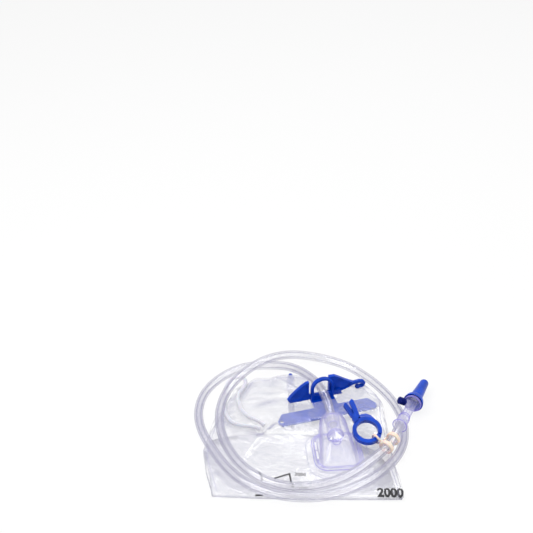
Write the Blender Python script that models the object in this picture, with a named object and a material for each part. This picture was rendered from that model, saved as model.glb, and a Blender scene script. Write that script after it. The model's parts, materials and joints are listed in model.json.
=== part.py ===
"""A two-litre urine drainage bag as it lies on a table, folded once, with its inlet hose round it.

World frame: the origin is on the table under the middle of the bag, +X to the right, +Y away
from the viewer and +Z up.  Sizes are in metres, written as millimetres times MM.
"""

import math

import bmesh
import bpy
import numpy as np
from mathutils import Matrix, Vector

MM = 0.001

# Gaps
FIT = 0.30 * MM                 # between two pieces that touch
FLOOR_GAP = 0.10 * MM           # under round pieces that lie on the table

# Bag film
FILM = 0.50 * MM                # thickness of one film
FILM_EDGE_STEP = 0.80 * MM      # from one film's middle to the other's at the welded edge
FILM_PUFF = 5.10 * MM           # the same inside the bag
SEAM_WIDTH = 6 * MM
PUFF_RUN = 16 * MM              # how far in from the seam the bag reaches its full puff
FOLD_RISE = 24 * MM             # how far back from the front fold the films come down

# Inlet hose
HOSE_OD = 10.2 * MM

# Hanging rope
ROPE_OD = 4.5 * MM

# Hanger
BLADE_THICK = 2.6 * MM
ARCH_HALF_WIDTH = 13.9 * MM     # outside
ARCH_ROD = 3.6 * MM             # in the arch's own plane
ARCH_DEPTH = 5.0 * MM
ARCH_TOP = 40.0 * MM
WING_THICK = 4.0 * MM
WING_RIM = 1.8 * MM
WING_RECESS = 1.0 * MM
WING_TOP = 37.5 * MM
SADDLE_TOP = 19.0 * MM
HOOK_ROD = 5.0 * MM
HOOK_BALL = 6.4 * MM
NECK_HALF_WIDTH = 14 * MM
SLOT_MARGIN = 3.5 * MM          # film slot beyond the neck

# Drip chamber
FLANGE_WIDTH = 53 * MM
FLANGE_LENGTH = 56 * MM
FLANGE_CORNER = 14 * MM
FLANGE_THICK = 1.2 * MM
FLANGE_RIM_INSET = 2.5 * MM
FLANGE_RIM_WIDTH = 2.0 * MM
FLANGE_RIM_HEIGHT = 1.3 * MM    # above the flange
HOOD_WALL = 1.2 * MM
HOOD_TOP = 20.8 * MM            # above the flange's underside
HOOD_END = 44 * MM              # the mouth, from the flange's middle
HOSE_START = 33 * MM            # where the hose stops inside the barrel
MOUTH_HEIGHT = 9.6 * MM         # hose axis above the flange's underside
BARREL_OD = 17.2 * MM
BARREL_STEP = 0.7 * MM          # the ring on the barrel, beyond its wall
BARREL_RING_AT = 26 * MM        # from the barrel's mouth
BARREL_RING_LENGTH = 2 * MM
BARREL_LENGTH = 37 * MM
DRIP_HOLE = 6.0 * MM
VENT_RAIL = 1.0 * MM
VENT_INSET = 2.3 * MM           # of the outer rail's middle from the flange's edge
VENT_GAP = 3.8 * MM
VENT_LENGTH = 28 * MM
VENT_HEIGHT = 2.6 * MM
BACK_PLATE_THICK = 1.0 * MM
BACK_PLATE_INSET = 2.0 * MM
OUTLET_HOLE = 14 * MM
FLAP_THICK = 0.4 * MM
WINDOW_INSET = 7.0 * MM         # the film's window inside the flange

# Catheter connector and cap
SOCKET_OD = 13.6 * MM
SOCKET_LENGTH = 15 * MM
SOCKET_DEPTH = 11 * MM
SOCKET_RIM = 1.1 * MM           # of the ring round the socket's mouth
CONNECTOR_BODY_OD = 11 * MM
DISC_OD = 19.5 * MM
DISC_THICK = 1.8 * MM
DISC_AT = 46 * MM               # from the connector's mouth
SPIGOT_LENGTH = 28 * MM
SPIGOT_ROOT = 8.6 * MM
SPIGOT_TIP = 6.2 * MM
BORE = 4.4 * MM
ARM_AT = 44.5 * MM
ARM_OD = 7.4 * MM
ARM_LENGTH = 9.2 * MM
SEPTUM_OD = 8.4 * MM
SEPTUM_LENGTH = 8.4 * MM
CAP_BELL_OD = 23 * MM
CAP_BELL_DEPTH = 11 * MM
CAP_ROOT_OD = 14.2 * MM
CAP_TIP_OD = 10.4 * MM
CAP_LENGTH = 47 * MM
CAP_WALL = 1.3 * MM
CAP_CLEARANCE = 0.4 * MM

# Sheet clip
CLIP_BORE = 11.7 * MM           # inner radius of the jaws
CLIP_JAW = 4.4 * MM             # jaw width
CLIP_HEIGHT = 6.0 * MM
CLIP_TILT = 17
CLIP_MOUTH_ANGLE = -20
CLIP_MOUTH_WIDTH = 1.2 * MM

# Rubber band
BAND_WIRE = 2.4 * MM            # of the loop and the straps
BAND_THICK = 2.0 * MM           # of the two rings on the hose
BAND_WIDTH = 4.6 * MM
BAND_HOSE_GAP = 0.70 * MM
BAND_JAW_GAP = 0.50 * MM

# Drain under the bag
DRAIN_TUBE_OD = 7.0 * MM
DRAIN_TUBE_BORE = 4.6 * MM
DRAIN_X = -7 * MM
SEAM_Y = 5 * MM
VALVE_OD = 9.5 * MM
VALVE_START = 62 * MM
VALVE_END = 90 * MM
NIPPLE_LENGTH = 8 * MM          # of the valve, inside the tube
SLIDER_OD = 5.4 * MM

# Heights that follow from what lies under what
LOWER_FRONT_Z = FILM / 2
LOWER_BACK_Z = LOWER_FRONT_Z + FILM_EDGE_STEP
UPPER_BACK_Z = LOWER_BACK_Z + FILM + 0.35 * MM
TUBE_Z = FLOOR_GAP + DRAIN_TUBE_OD / 2
VALVE_Z = FLOOR_GAP + VALVE_OD / 2
OVER_TUBE_Z = TUBE_Z + DRAIN_TUBE_OD / 2 + FIT + FILM / 2
OVER_VALVE_Z = VALVE_Z + VALVE_OD / 2 + FIT + FILM / 2
BLADE_Z = OVER_TUBE_Z + FILM / 2 + FIT
BLADE_TOP_Z = BLADE_Z + BLADE_THICK
OVER_BLADE_Z = BLADE_TOP_Z + FIT + FILM / 2
CHAMBER_FILM_Z = UPPER_BACK_Z + FILM_PUFF
FLANGE_Z = CHAMBER_FILM_Z + FILM / 2 + FIT
BACK_PLATE_Z = CHAMBER_FILM_Z - FILM / 2 - FIT - BACK_PLATE_THICK
FLAP_Z = BACK_PLATE_Z - FIT - FLAP_THICK
OUTSIDE_Z = OVER_BLADE_Z + FILM / 2 + FIT     # lowest point of what stands over the blade
FOLD_OUTER_R = (FILM_EDGE_STEP * 2 + FILM + 2.6 * MM) / 2
FOLD_MIDDLE_Z = LOWER_FRONT_Z + FOLD_OUTER_R
FOLD_INNER_R = FOLD_OUTER_R - FILM_EDGE_STEP

# Places of the sub-assemblies
HANGER_PLACE = Vector((29 * MM, 48.6 * MM, 0))
HANGER_TURN = math.radians(16)
CHAMBER_PLACE = Vector((40.5 * MM, -34.5 * MM, FLANGE_Z))
CHAMBER_TURN = math.radians(5)
CLIP_PLACE = Vector((74 * MM, -12.6 * MM, 17.8 * MM))
JAW_ANGLE = math.radians(-48)
BAND_AT = (-25 * MM, -37 * MM)                # where the hose's last stretch carries the two rings
CONNECTOR_TURN = math.radians(-25.5)          # from +Y towards +X
CONNECTOR_DIP = math.radians(5.5)
HOSE_END = Vector((114.6, 3.4, 18.2)) * MM

# Outline of the folded bag, seen from above, in millimetres
LEFT_EDGE = [(-92, -91), (-100, -60), (-105, -29), (-99, 1), (-95, 16), (-84, 44), (-74, 68), (-64, 83)]
RIGHT_EDGE = [(105, -95.5), (104, -75), (102, -57), (99, 6), (98, 32), (95, 55), (88, 60), (78, 79)]
TOP_EDGE = [(-64, 83), (-52, 90), (-31, 91), (-13, 92), (28, 90), (66, 88), (78, 79)]
FRONT_FOLD = [(-92, -91), (-42, -94), (-1, -95), (50, -95.5), (105, -95.5)]
LEFT_UNDER = [(-92, -91), (-105, -29), (-100, 5)]
RIGHT_UNDER = [(105, -95.5), (101, 5)]

# Blade of the hanger in its own frame, in millimetres
BLADE_OUTLINE = [(-60, -26), (-57, -30.4), (52, -30.4), (56, -27.5), (56.5, -23), (50, -12), (-53, -12), (-60, -22)]

# Hood's sections: place as a share of the flange's half length or of the mouth's distance, half width
# as a share of the flange's, and height as a share of the hood's top
HOOD_STATIONS = [
    (-0.98, 0.58, 0.16), (-0.90, 0.70, 0.28), (-0.72, 0.755, 0.45), (-0.40, 0.745, 0.70), (-0.14, 0.715, 0.88),
    (0.09, 0.685, 0.96), (0.36, 0.645, 0.98), (0.75, 0.61, 1.0), (0.89, 0.565, 0.97), (1.0, 0.46, 0.89),
]

# Routes that a hand laid out, in millimetres
HOSE_ROUTE = [
    (34.3, 27.0, 19.8), (29.6, 42.0, 24.0), (22.9, 58.5, 24.9), (14.5, 75.0, 21.6), (3.0, 91.5, 17.7),
    (-12.5, 106.0, 12.3), (-31.0, 114.0, 7.3), (-58.5, 113.5, 5.4), (-88.0, 94.5, 5.3), (-107.0, 65.5, 5.3),
    (-112.5, 30.5, 5.5), (-106.0, -3.5, 7.6), (-91.5, -36.0, 9.4), (-73.0, -66.0, 10.4),
    (-47.0, -89.0, 10.9), (21.5, -100.5, 10.4), (54.5, -89.0, 11.0), (104.0, -41.5, 8.8),
    (116.0, -8.0, 5.5), (116.0, 27.5, 5.3), (86.0, 91.0, 5.3), (61.0, 115.5, 5.4), (29.0, 129.5, 6.6),
    (-5.5, 126.5, 13.6), (-36.5, 110.5, 18.4), (-62.5, 88.0, 16.4), (-80.5, 58.5, 14.4),
    (-88.0, 24.0, 12.9), (-71.5, -43.5, 12.0), (-49.5, -71.0, 11.7), (-18.5, -87.0, 11.4),
    (16.5, -87.5, 12.0), (47.0, -76.5, 13.8), (75.0, -55.0, 16.0),
]
ROPE_ROUTE = [
    (-38.0, 8.5, 6.6), (-43.5, 12.0, 9.2), (-53.0, 18.0, 9.8), (-61.5, 27.0, 9.8), (-66.5, 40.0, 9.6),
    (-68.5, 53.0, 8.8), (-66.0, 65.0, 7.6), (-61.5, 76.0, 6.6), (-60.5, 86.5, 6.0), (-66.0, 95.0, 4.4),
    (-75.0, 95.0, 3.0), (-81.5, 86.0, 2.6), (-83.5, 74.0, 3.2), (-84.0, 60.0, 4.6), (-83.5, 45.0, 5.8),
    (-82.0, 31.0, 5.9), (-77.5, 18.5, 7.2), (-70.5, 9.5, 8.8), (-61.0, 5.0, 9.6), (-51.0, 3.5, 9.2),
    (-43.2, 3.4, 6.6),
]

# Colours, as the part's own plain finishes
PALETTE = {
    "clear_film": ((0.90, 0.90, 0.95, 1), 0.25),
    "clear_moulding": ((0.83, 0.82, 0.95, 1), 0.15),
    "clear_hose": ((0.86, 0.85, 0.92, 1), 0.20),
    "blue_moulding": ((0.004, 0.03, 0.40, 1), 0.35),
    "white_rope": ((0.92, 0.92, 0.93, 1), 0.80),
    "peach_rubber": ((0.95, 0.68, 0.52, 1), 0.60),
}


# Scene and materials
def clear_scene():
    for thing in list(bpy.context.scene.objects):
        bpy.data.objects.remove(thing, do_unlink=True)


def finish(name):
    """The material of that name, made on first use."""
    material = bpy.data.materials.get(name)
    if material is None:
        colour, roughness = PALETTE[name]
        material = bpy.data.materials.new(name)
        material.use_nodes = True
        shader = material.node_tree.nodes["Principled BSDF"]
        shader.inputs["Base Color"].default_value = colour
        shader.inputs["Roughness"].default_value = roughness
        material.diffuse_color = colour
    return material


def add_object(name, mesh, material=None, parent=None):
    thing = bpy.data.objects.new(name, mesh)
    bpy.context.scene.collection.objects.link(thing)
    if material:
        mesh.materials.append(finish(material))
    thing.parent = parent
    return thing


def add_frame(name, matrix):
    frame = bpy.data.objects.new(name, None)
    bpy.context.scene.collection.objects.link(frame)
    frame.matrix_world = matrix
    return frame


def mesh_of(name, vertices, faces):
    """A closed mesh with its faces turned outward and round stretches shaded smooth."""
    shape = bmesh.new()
    rows = [shape.verts.new(v) for v in vertices]
    for face in faces:
        shape.faces.new([rows[i] for i in face])
    bmesh.ops.recalc_face_normals(shape, faces=shape.faces)
    mesh = bpy.data.meshes.new(name)
    shape.to_mesh(mesh)
    shape.free()
    mesh.shade_smooth()
    mesh.set_sharp_from_angle(angle=math.radians(35))
    return mesh


def as_tool(thing):
    """Mark a solid that only cuts or joins another."""
    thing.hide_render = True
    thing.display_type = "WIRE"
    return thing


def combine(target, tools, operation):
    for tool in tools:
        as_tool(tool)
        step = target.modifiers.new(operation.lower() + "_" + tool.name, "BOOLEAN")
        step.operation = operation
        step.object = tool
        step.solver = "EXACT"


# Solids
def loft(name, rings, parent=None, material=None):
    """A solid through rings of points, each with the same number of points, closed by end caps."""
    count = len(rings[0])
    vertices = [point for ring in rings for point in ring]
    faces = [tuple(range(count))[::-1]]
    for level in range(len(rings) - 1):
        for i in range(count):
            j = (i + 1) % count
            a = level * count
            faces.append((a + i, a + j, a + count + j, a + count + i))
    last = (len(rings) - 1) * count
    faces.append(tuple(range(last, last + count)))
    return add_object(name, mesh_of(name, vertices, faces), material, parent)


def prism(name, outline, low, high, parent=None, material=None):
    """An outline in X and Y carried up Z."""
    rings = [[(x, y, z) for x, y in outline] for z in (low, high)]
    return loft(name, rings, parent, material)


def upright_prism(name, outline, front, back, parent=None, material=None):
    """An outline in X and Z carried along Y."""
    rings = [[(x, y, z) for x, z in outline] for y in (front, back)]
    return loft(name, rings, parent, material)


def turned(name, profile, sides, parent=None, material=None):
    """A profile of (radius, height) pairs, one closed loop, turned about Z."""
    vertices = []
    index = []
    for radius, height in profile:
        if radius < 1e-7:
            index.append([len(vertices)] * sides)
            vertices.append((0, 0, height))
        else:
            index.append([len(vertices) + i for i in range(sides)])
            for i in range(sides):
                turn = 2 * math.pi * i / sides
                vertices.append((radius * math.cos(turn), radius * math.sin(turn), height))
    faces = []
    for k in range(len(profile)):
        first, second = index[k], index[(k + 1) % len(profile)]
        for i in range(sides):
            j = (i + 1) % sides
            face = []
            for corner in (first[i], first[j], second[j], second[i]):
                if corner not in face:
                    face.append(corner)
            if len(face) > 2:
                faces.append(face)
    return add_object(name, mesh_of(name, vertices, faces), material, parent)


def swept(name, path, section, parent=None, material=None, closed=False):
    """A section of (side, up) offsets carried along a path, kept upright by the path's own turn."""
    points = [Vector(p) for p in path]
    count = len(points)
    rings = []
    normal = None
    for i, point in enumerate(points):
        ahead = points[(i + 1) % count] if closed or i < count - 1 else point
        behind = points[i - 1] if closed or i > 0 else point
        along = (ahead - behind).normalized()
        if normal is None:
            guide = Vector((0, 1, 0)) if abs(along.y) < 0.9 else Vector((1, 0, 0))
            normal = along.cross(guide).normalized()
        normal = (normal - along * normal.dot(along)).normalized()
        side = along.cross(normal)
        rings.append([point + normal * a + side * b for a, b in section])
    if not closed:
        return loft(name, rings, parent, material)
    size = len(section)
    vertices = [p for ring in rings for p in ring]
    faces = []
    for level in range(count):
        a, b = level * size, ((level + 1) % count) * size
        for i in range(size):
            j = (i + 1) % size
            faces.append((a + i, a + j, b + j, b + i))
    return add_object(name, mesh_of(name, vertices, faces), material, parent)


def circle(radius, sides, turn=0.0):
    angles = [turn + 2 * math.pi * i / sides for i in range(sides)]
    return [(radius * math.cos(a), radius * math.sin(a)) for a in angles]


def ball(name, centre, diameter, parent=None):
    mesh = bpy.data.meshes.new(name)
    shape = bmesh.new()
    bmesh.ops.create_icosphere(shape, subdivisions=2, radius=diameter / 2)
    bmesh.ops.translate(shape, verts=shape.verts, vec=centre)
    shape.to_mesh(mesh)
    shape.free()
    return add_object(name, mesh, None, parent)


def rounded_rectangle(width, length, corner, steps=4, centre=(0, 0)):
    """Points of a rectangle with round corners, anticlockwise."""
    points = []
    for quarter, (sx, sy) in enumerate([(1, 1), (-1, 1), (-1, -1), (1, -1)]):
        for step in range(steps + 1):
            turn = math.pi / 2 * (quarter + step / steps)
            x = sx * (width / 2 - corner) + corner * math.cos(turn)
            y = sy * (length / 2 - corner) + corner * math.sin(turn)
            points.append((centre[0] + x, centre[1] + y))
    return points


# Curves through chosen points
def spline_through(points, spacing):
    """Points every spacing along the natural cubic spline through the given points."""
    knots = np.array(points, dtype=float)
    chord = np.concatenate([[0], np.cumsum(np.linalg.norm(np.diff(knots, axis=0), axis=1))])
    count = len(knots)
    gap = np.diff(chord)
    matrix = np.zeros((count, count))
    right = np.zeros((count, 3))
    matrix[0, 0] = matrix[-1, -1] = 1
    for i in range(1, count - 1):
        matrix[i, i - 1] = gap[i - 1]
        matrix[i, i] = 2 * (gap[i - 1] + gap[i])
        matrix[i, i + 1] = gap[i]
        right[i] = 6 * ((knots[i + 1] - knots[i]) / gap[i] - (knots[i] - knots[i - 1]) / gap[i - 1])
    bend = np.linalg.solve(matrix, right)

    def at(place):
        i = min(max(int(np.searchsorted(chord, place)) - 1, 0), count - 2)
        left, rest = chord[i + 1] - place, place - chord[i]
        curve = (bend[i] * left ** 3 + bend[i + 1] * rest ** 3) / (6 * gap[i])
        start = (knots[i] / gap[i] - bend[i] * gap[i] / 6) * left
        end = (knots[i + 1] / gap[i] - bend[i + 1] * gap[i] / 6) * rest
        return curve + start + end

    fine = np.array([at(place) for place in np.linspace(0, chord[-1], 1500)])
    length = np.concatenate([[0], np.cumsum(np.linalg.norm(np.diff(fine, axis=0), axis=1))])
    steps = max(2, round(length[-1] / spacing))
    places = np.linspace(0, length[-1], steps + 1)
    return [Vector([np.interp(place, length, fine[:, k]) for k in range(3)]) for place in places]


def cord(name, points, diameter, material, resolution):
    """A plain tube along the points: a curve with a round bevel and filled ends."""
    curve = bpy.data.curves.new(name, "CURVE")
    curve.dimensions = "3D"
    curve.bevel_depth = diameter / 2
    curve.bevel_resolution = resolution
    curve.use_fill_caps = True
    line = curve.splines.new("POLY")
    line.points.add(len(points) - 1)
    for slot, point in zip(line.points, points):
        slot.co = (*point, 1)
    return add_object(name, curve, material)


def connector_matrix():
    """The connector's frame: its mouth is the origin and +Z runs along it towards the cap."""
    along = Vector((-math.sin(CONNECTOR_TURN) * math.cos(CONNECTOR_DIP),
                    math.cos(CONNECTOR_TURN) * math.cos(CONNECTOR_DIP), -math.sin(CONNECTOR_DIP)))
    side = Vector((-along.y, along.x, 0)).normalized()
    up = along.cross(side)
    mouth = HOSE_END - along * (SOCKET_DEPTH - FIT)
    turn = Matrix((side, up, along)).transposed().to_4x4()
    return Matrix.Translation(mouth) @ turn


def chamber_matrix():
    return Matrix.Translation(CHAMBER_PLACE) @ Matrix.Rotation(CHAMBER_TURN, 4, "Z")


def hose_points(spacing):
    """The hose's centre line, from inside the chamber's barrel to inside the connector's socket."""
    chamber, socket = chamber_matrix(), connector_matrix()
    start = [chamber @ Vector((0, y, MOUTH_HEIGHT)) for y in (HOSE_START, HOOD_END + 1 * MM)]
    end = [socket @ Vector((0, -3.2 * MM, -22 * MM)), socket @ Vector((0, 0, -1 * MM)), HOSE_END]
    return spline_through(start + [Vector(p) * MM for p in HOSE_ROUTE] + end, spacing)


def rope_points(spacing):
    return spline_through([Vector(p) * MM for p in ROPE_ROUTE], spacing)


# Bag film
def along_edge(points, share):
    """The point at that share of a chain of points' length."""
    chain = np.array(points, dtype=float) * MM
    length = np.concatenate([[0], np.cumsum(np.linalg.norm(np.diff(chain, axis=0), axis=1))])
    return np.array([np.interp(share * length[-1], length, chain[:, k]) for k in range(2)])


def patch(left, right, near, far, u, t):
    """Coons patch: u runs from the left edge to the right, t from the near edge to the far one."""
    low, high = along_edge(near, u), along_edge(far, u)
    west, east = along_edge(left, t), along_edge(right, t)
    corners = ((1 - u) * (1 - t) * along_edge(near, 0) + u * (1 - t) * along_edge(near, 1)
               + (1 - u) * t * along_edge(far, 0) + u * t * along_edge(far, 1))
    return (1 - t) * low + t * high + (1 - u) * west + u * east - corners


def ease(value):
    """0 below 0, 1 above 1 and a smooth rise between."""
    value = min(max(value, 0.0), 1.0)
    return value * value * (3 - 2 * value)


def box_distance(x, y, centre, turn, low, high):
    """How far a point lies outside a turned rectangle in the plane."""
    dx, dy = x - centre[0], y - centre[1]
    across = dx * math.cos(turn) + dy * math.sin(turn)
    back = -dx * math.sin(turn) + dy * math.cos(turn)
    out_x = max(low[0] - across, 0, across - high[0])
    out_y = max(low[1] - back, 0, back - high[1])
    return math.hypot(out_x, out_y)


def edge_distance(x, y):
    """How far inside the bag's upper outline a point lies, seams only."""
    best = 1.0
    for chain in (LEFT_EDGE, TOP_EDGE, RIGHT_EDGE):
        for (ax, ay), (bx, by) in zip(chain, chain[1:]):
            a, b = np.array((ax, ay)) * MM, np.array((bx, by)) * MM
            run = b - a
            share = min(max(np.dot(np.array((x, y)) - a, run) / np.dot(run, run), 0), 1)
            best = min(best, float(np.linalg.norm(np.array((x, y)) - a - run * share)))
    return best


def crease(x, y, start, end, width):
    """1 on a crease from start to end (millimetres), falling to 0 at its width."""
    a, b = np.array(start) * MM, np.array(end) * MM
    run = b - a
    share = min(max(np.dot(np.array((x, y)) - a, run) / np.dot(run, run), 0), 1)
    gap = np.linalg.norm(np.array((x, y)) - a - run * share)
    return ease(1 - gap / (width * MM)) * (1 - 0.5 * share)


def fold_distance(x, y):
    return y - along_edge(FRONT_FOLD, (x / MM + 92) / 197)[1]


def back_film_height(x, y):
    """Height of the upper half's back film over what lies under it."""
    height = UPPER_BACK_Z
    front = 1 - ease(fold_distance(x, y) / FOLD_RISE)
    height += (FOLD_MIDDLE_Z + FOLD_INNER_R - height) * front
    tube = box_distance(x, y, (DRAIN_X, 0), 0, (-DRAIN_TUBE_OD, -5 * MM), (DRAIN_TUBE_OD, 0.2))
    height = max(height, UPPER_BACK_Z + (OVER_TUBE_Z - UPPER_BACK_Z) * (1 - ease(tube / (20 * MM))))
    valve = box_distance(x, y, (DRAIN_X, 0), 0, (-VALVE_OD, VALVE_START - 5 * MM), (VALVE_OD, 0.2))
    height = max(height, UPPER_BACK_Z + (OVER_VALVE_Z - UPPER_BACK_Z) * (1 - ease(valve / (26 * MM))))
    tip = math.hypot(x - 96 * MM, y - 38 * MM)
    return max(height, UPPER_BACK_Z + 5.2 * MM * (1 - ease(tip / (26 * MM))))


def cord_ceiling(x, y, cords):
    """Highest place for the film's middle under the hose and the rope."""
    ceiling = 1.0
    for route, diameter in cords:
        for point in route:
            gap = math.hypot(x - point.x, y - point.y)
            under = point.z - diameter / 2 - FIT - FILM / 2 - 0.1 * MM
            ceiling = min(ceiling, under + max(0, gap - diameter / 2 - 4 * MM) * 1.8)
    return ceiling


def front_film_height(x, y, cords):
    """Height of the upper half's front film over the blade and under the hose and the chamber."""
    back = back_film_height(x, y)
    inside = ease((edge_distance(x, y) - SEAM_WIDTH) / PUFF_RUN)
    front = ease(fold_distance(x, y) / FOLD_RISE)
    puff = FILM_EDGE_STEP + (FILM_PUFF - FILM_EDGE_STEP) * inside * front
    height = max(back + FILM_EDGE_STEP, UPPER_BACK_Z + puff)
    blade = box_distance(x, y, HANGER_PLACE, HANGER_TURN, (-69 * MM, -33 * MM), (60 * MM, 6 * MM))
    height = max(height, CHAMBER_FILM_Z + (OVER_BLADE_Z - CHAMBER_FILM_Z) * (1 - ease(blade / (13 * MM))))
    behind = ease((y - 62 * MM) / (10 * MM)) * inside
    height += 1.1 * MM * behind * (1 + math.sin(x / (6.5 * MM) + y / (16 * MM)))
    height += 2.6 * MM * crease(x, y, (-77, -66), (-104, -31), 11) * inside
    height += 1.6 * MM * crease(x, y, (-77, -66), (-88, -88), 11) * front
    for start, end in (((-43, 4), (-54, -14)), ((-54, -14), (-61, -40)), ((-38, 2), (-26, -14))):
        height += 1.5 * MM * crease(x, y, start, end, 9) * inside
    height += 1.2 * MM * crease(x, y, (-17, -14), (0, -37), 10)
    plate = box_distance(x, y, CHAMBER_PLACE, CHAMBER_TURN, (-30 * MM, -32 * MM), (30 * MM, 31 * MM))
    hood = box_distance(x, y, CHAMBER_PLACE, CHAMBER_TURN, (-18 * MM, 0), (18 * MM, HOOD_END + 1 * MM))
    height = min(height, CHAMBER_FILM_Z + min(plate * 1.2, max(0, hood - 1.5 * MM) * 2))
    height = min(height, cord_ceiling(x, y, cords))
    return max(height, back + FILM_EDGE_STEP)


def film_sheet(name, outer, columns, cords):
    """One film: the upper half, the turn at the front fold and the half folded under."""
    radius = FOLD_OUTER_R if outer else FOLD_INNER_R
    under = LOWER_FRONT_Z if outer else LOWER_BACK_Z
    shares = upper_rows(outer)
    grid = []
    for column in range(columns + 1):
        u = column / columns
        line = []
        for t in shares:
            x, y = patch(LEFT_EDGE, RIGHT_EDGE, FRONT_FOLD, TOP_EDGE, u, t)
            height = front_film_height(x, y, cords) if outer else back_film_height(x, y)
            line.append((x, y, height))
        x, y = along_edge(FRONT_FOLD, u)
        for turn in (90, 40, 0, -40, -90):
            angle = math.radians(turn)
            line.append((x, y - radius * math.cos(angle), FOLD_MIDDLE_Z + radius * math.sin(angle)))
        for t in (0.12, 0.3, 0.5, 0.75, 1.0):
            x, y = patch(LEFT_UNDER, RIGHT_UNDER, FRONT_FOLD, [LEFT_UNDER[-1], RIGHT_UNDER[-1]], u, t)
            line.append((x, y, under))
        grid.append(line)
    rows = len(grid[0])
    vertices = [point for line in grid for point in line]
    faces = []
    for c in range(columns):
        for r in range(rows - 1):
            a = c * rows + r
            faces.append((a, a + rows, a + rows + 1, a + 1))
    shape = bmesh.new()
    corners = [shape.verts.new(v) for v in vertices]
    for face in faces:
        shape.faces.new([corners[i] for i in face])
    mesh = bpy.data.meshes.new(name)
    shape.to_mesh(mesh)
    shape.free()
    mesh.shade_smooth()
    sheet = add_object(name, mesh, "clear_film")
    wall = sheet.modifiers.new("film_thickness", "SOLIDIFY")
    wall.thickness = FILM
    wall.offset = 0
    return sheet


def upper_rows(outer):
    """Shares of the upper half's depth, far edge first, closest together before the blade."""
    if outer:
        steps = [0, 0.04, 0.08, 0.12, 0.16, 0.2, 0.24, 0.28, 0.32, 0.35, 0.375, 0.39, 0.405, 0.42, 0.435, 0.45]
        steps += [0.48, 0.52, 0.56, 0.6, 0.64, 0.69, 0.74, 0.79, 0.84, 0.88, 0.92, 0.95, 0.975]
    else:
        steps = [0, 0.05, 0.1, 0.15, 0.2, 0.26, 0.32, 0.38, 0.44, 0.5, 0.56, 0.62, 0.7, 0.78, 0.86, 0.93, 0.975]
    return [1 - step for step in steps]


def build_bag(cords, hanger, chamber):
    front = film_sheet("film_front", True, 30, cords)
    film_sheet("film_back", False, 20, cords)
    slot = rounded_rectangle(2 * (NECK_HALF_WIDTH + SLOT_MARGIN), 12 * MM, 4 * MM, 3, (0, 2 * MM))
    cuts = [prism("slot_cutter", slot, -5 * MM, 30 * MM, hanger)]
    window = rounded_rectangle(FLANGE_WIDTH - 2 * WINDOW_INSET, FLANGE_LENGTH - 2 * WINDOW_INSET, 8 * MM, 3)
    low = CHAMBER_FILM_Z - FLANGE_Z
    cuts.append(prism("window_cutter", window, low - 1.5 * MM, low + 5 * MM, chamber))
    eyelet = [(x - 41 * MM, y + 6 * MM) for x, y in circle(8 * MM, 12)]
    cuts.append(prism("rope_hole_cutter", eyelet, 4 * MM, 20 * MM))
    combine(front, cuts, "DIFFERENCE")


# Hanger
def arch_path():
    """Centre line of the hose arch in X and Z, left foot to right foot."""
    radius = ARCH_HALF_WIDTH - ARCH_ROD / 2
    spring = ARCH_TOP - ARCH_HALF_WIDTH
    points = [(-radius, OUTSIDE_Z + 1.0 * MM), (-radius, (OUTSIDE_Z + spring) / 2)]
    for step in range(13):
        turn = math.pi - math.pi * step / 12
        points.append((radius * math.cos(turn), spring + radius * math.sin(turn)))
    points += [(radius, (OUTSIDE_Z + spring) / 2), (radius, OUTSIDE_Z + 1.0 * MM)]
    return points


def inset_outline(outline, inset):
    """The outline moved inward, corner by corner."""
    count = len(outline)
    area = sum(outline[i][0] * outline[(i + 1) % count][1] - outline[(i + 1) % count][0] * outline[i][1]
               for i in range(count))
    turn = 1 if area > 0 else -1
    result = []
    for i in range(count):
        before = Vector(outline[i]) - Vector(outline[i - 1])
        after = Vector(outline[(i + 1) % count]) - Vector(outline[i])
        normals = [Vector((-run.y, run.x)).normalized() * turn for run in (before, after)]
        middle = (normals[0] + normals[1]).normalized()
        reach = inset / max(0.5, middle.dot(normals[0]))
        result.append(tuple(Vector(outline[i]) + middle * reach))
    return result


def wing(name, outline, front, hanger):
    """A wing: an upright plate with a raised rim left round its recessed faces."""
    plate = upright_prism(name, outline, front, front + WING_THICK, hanger)
    inner = inset_outline(outline, WING_RIM)
    edge = 1 * MM
    pockets = [
        upright_prism(name + "_front_pocket", inner, front - edge, front + WING_RECESS, hanger),
        upright_prism(name + "_back_pocket", inner, front + WING_THICK - WING_RECESS, front + WING_THICK + edge,
                      hanger),
    ]
    combine(plate, pockets, "DIFFERENCE")
    return plate


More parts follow.
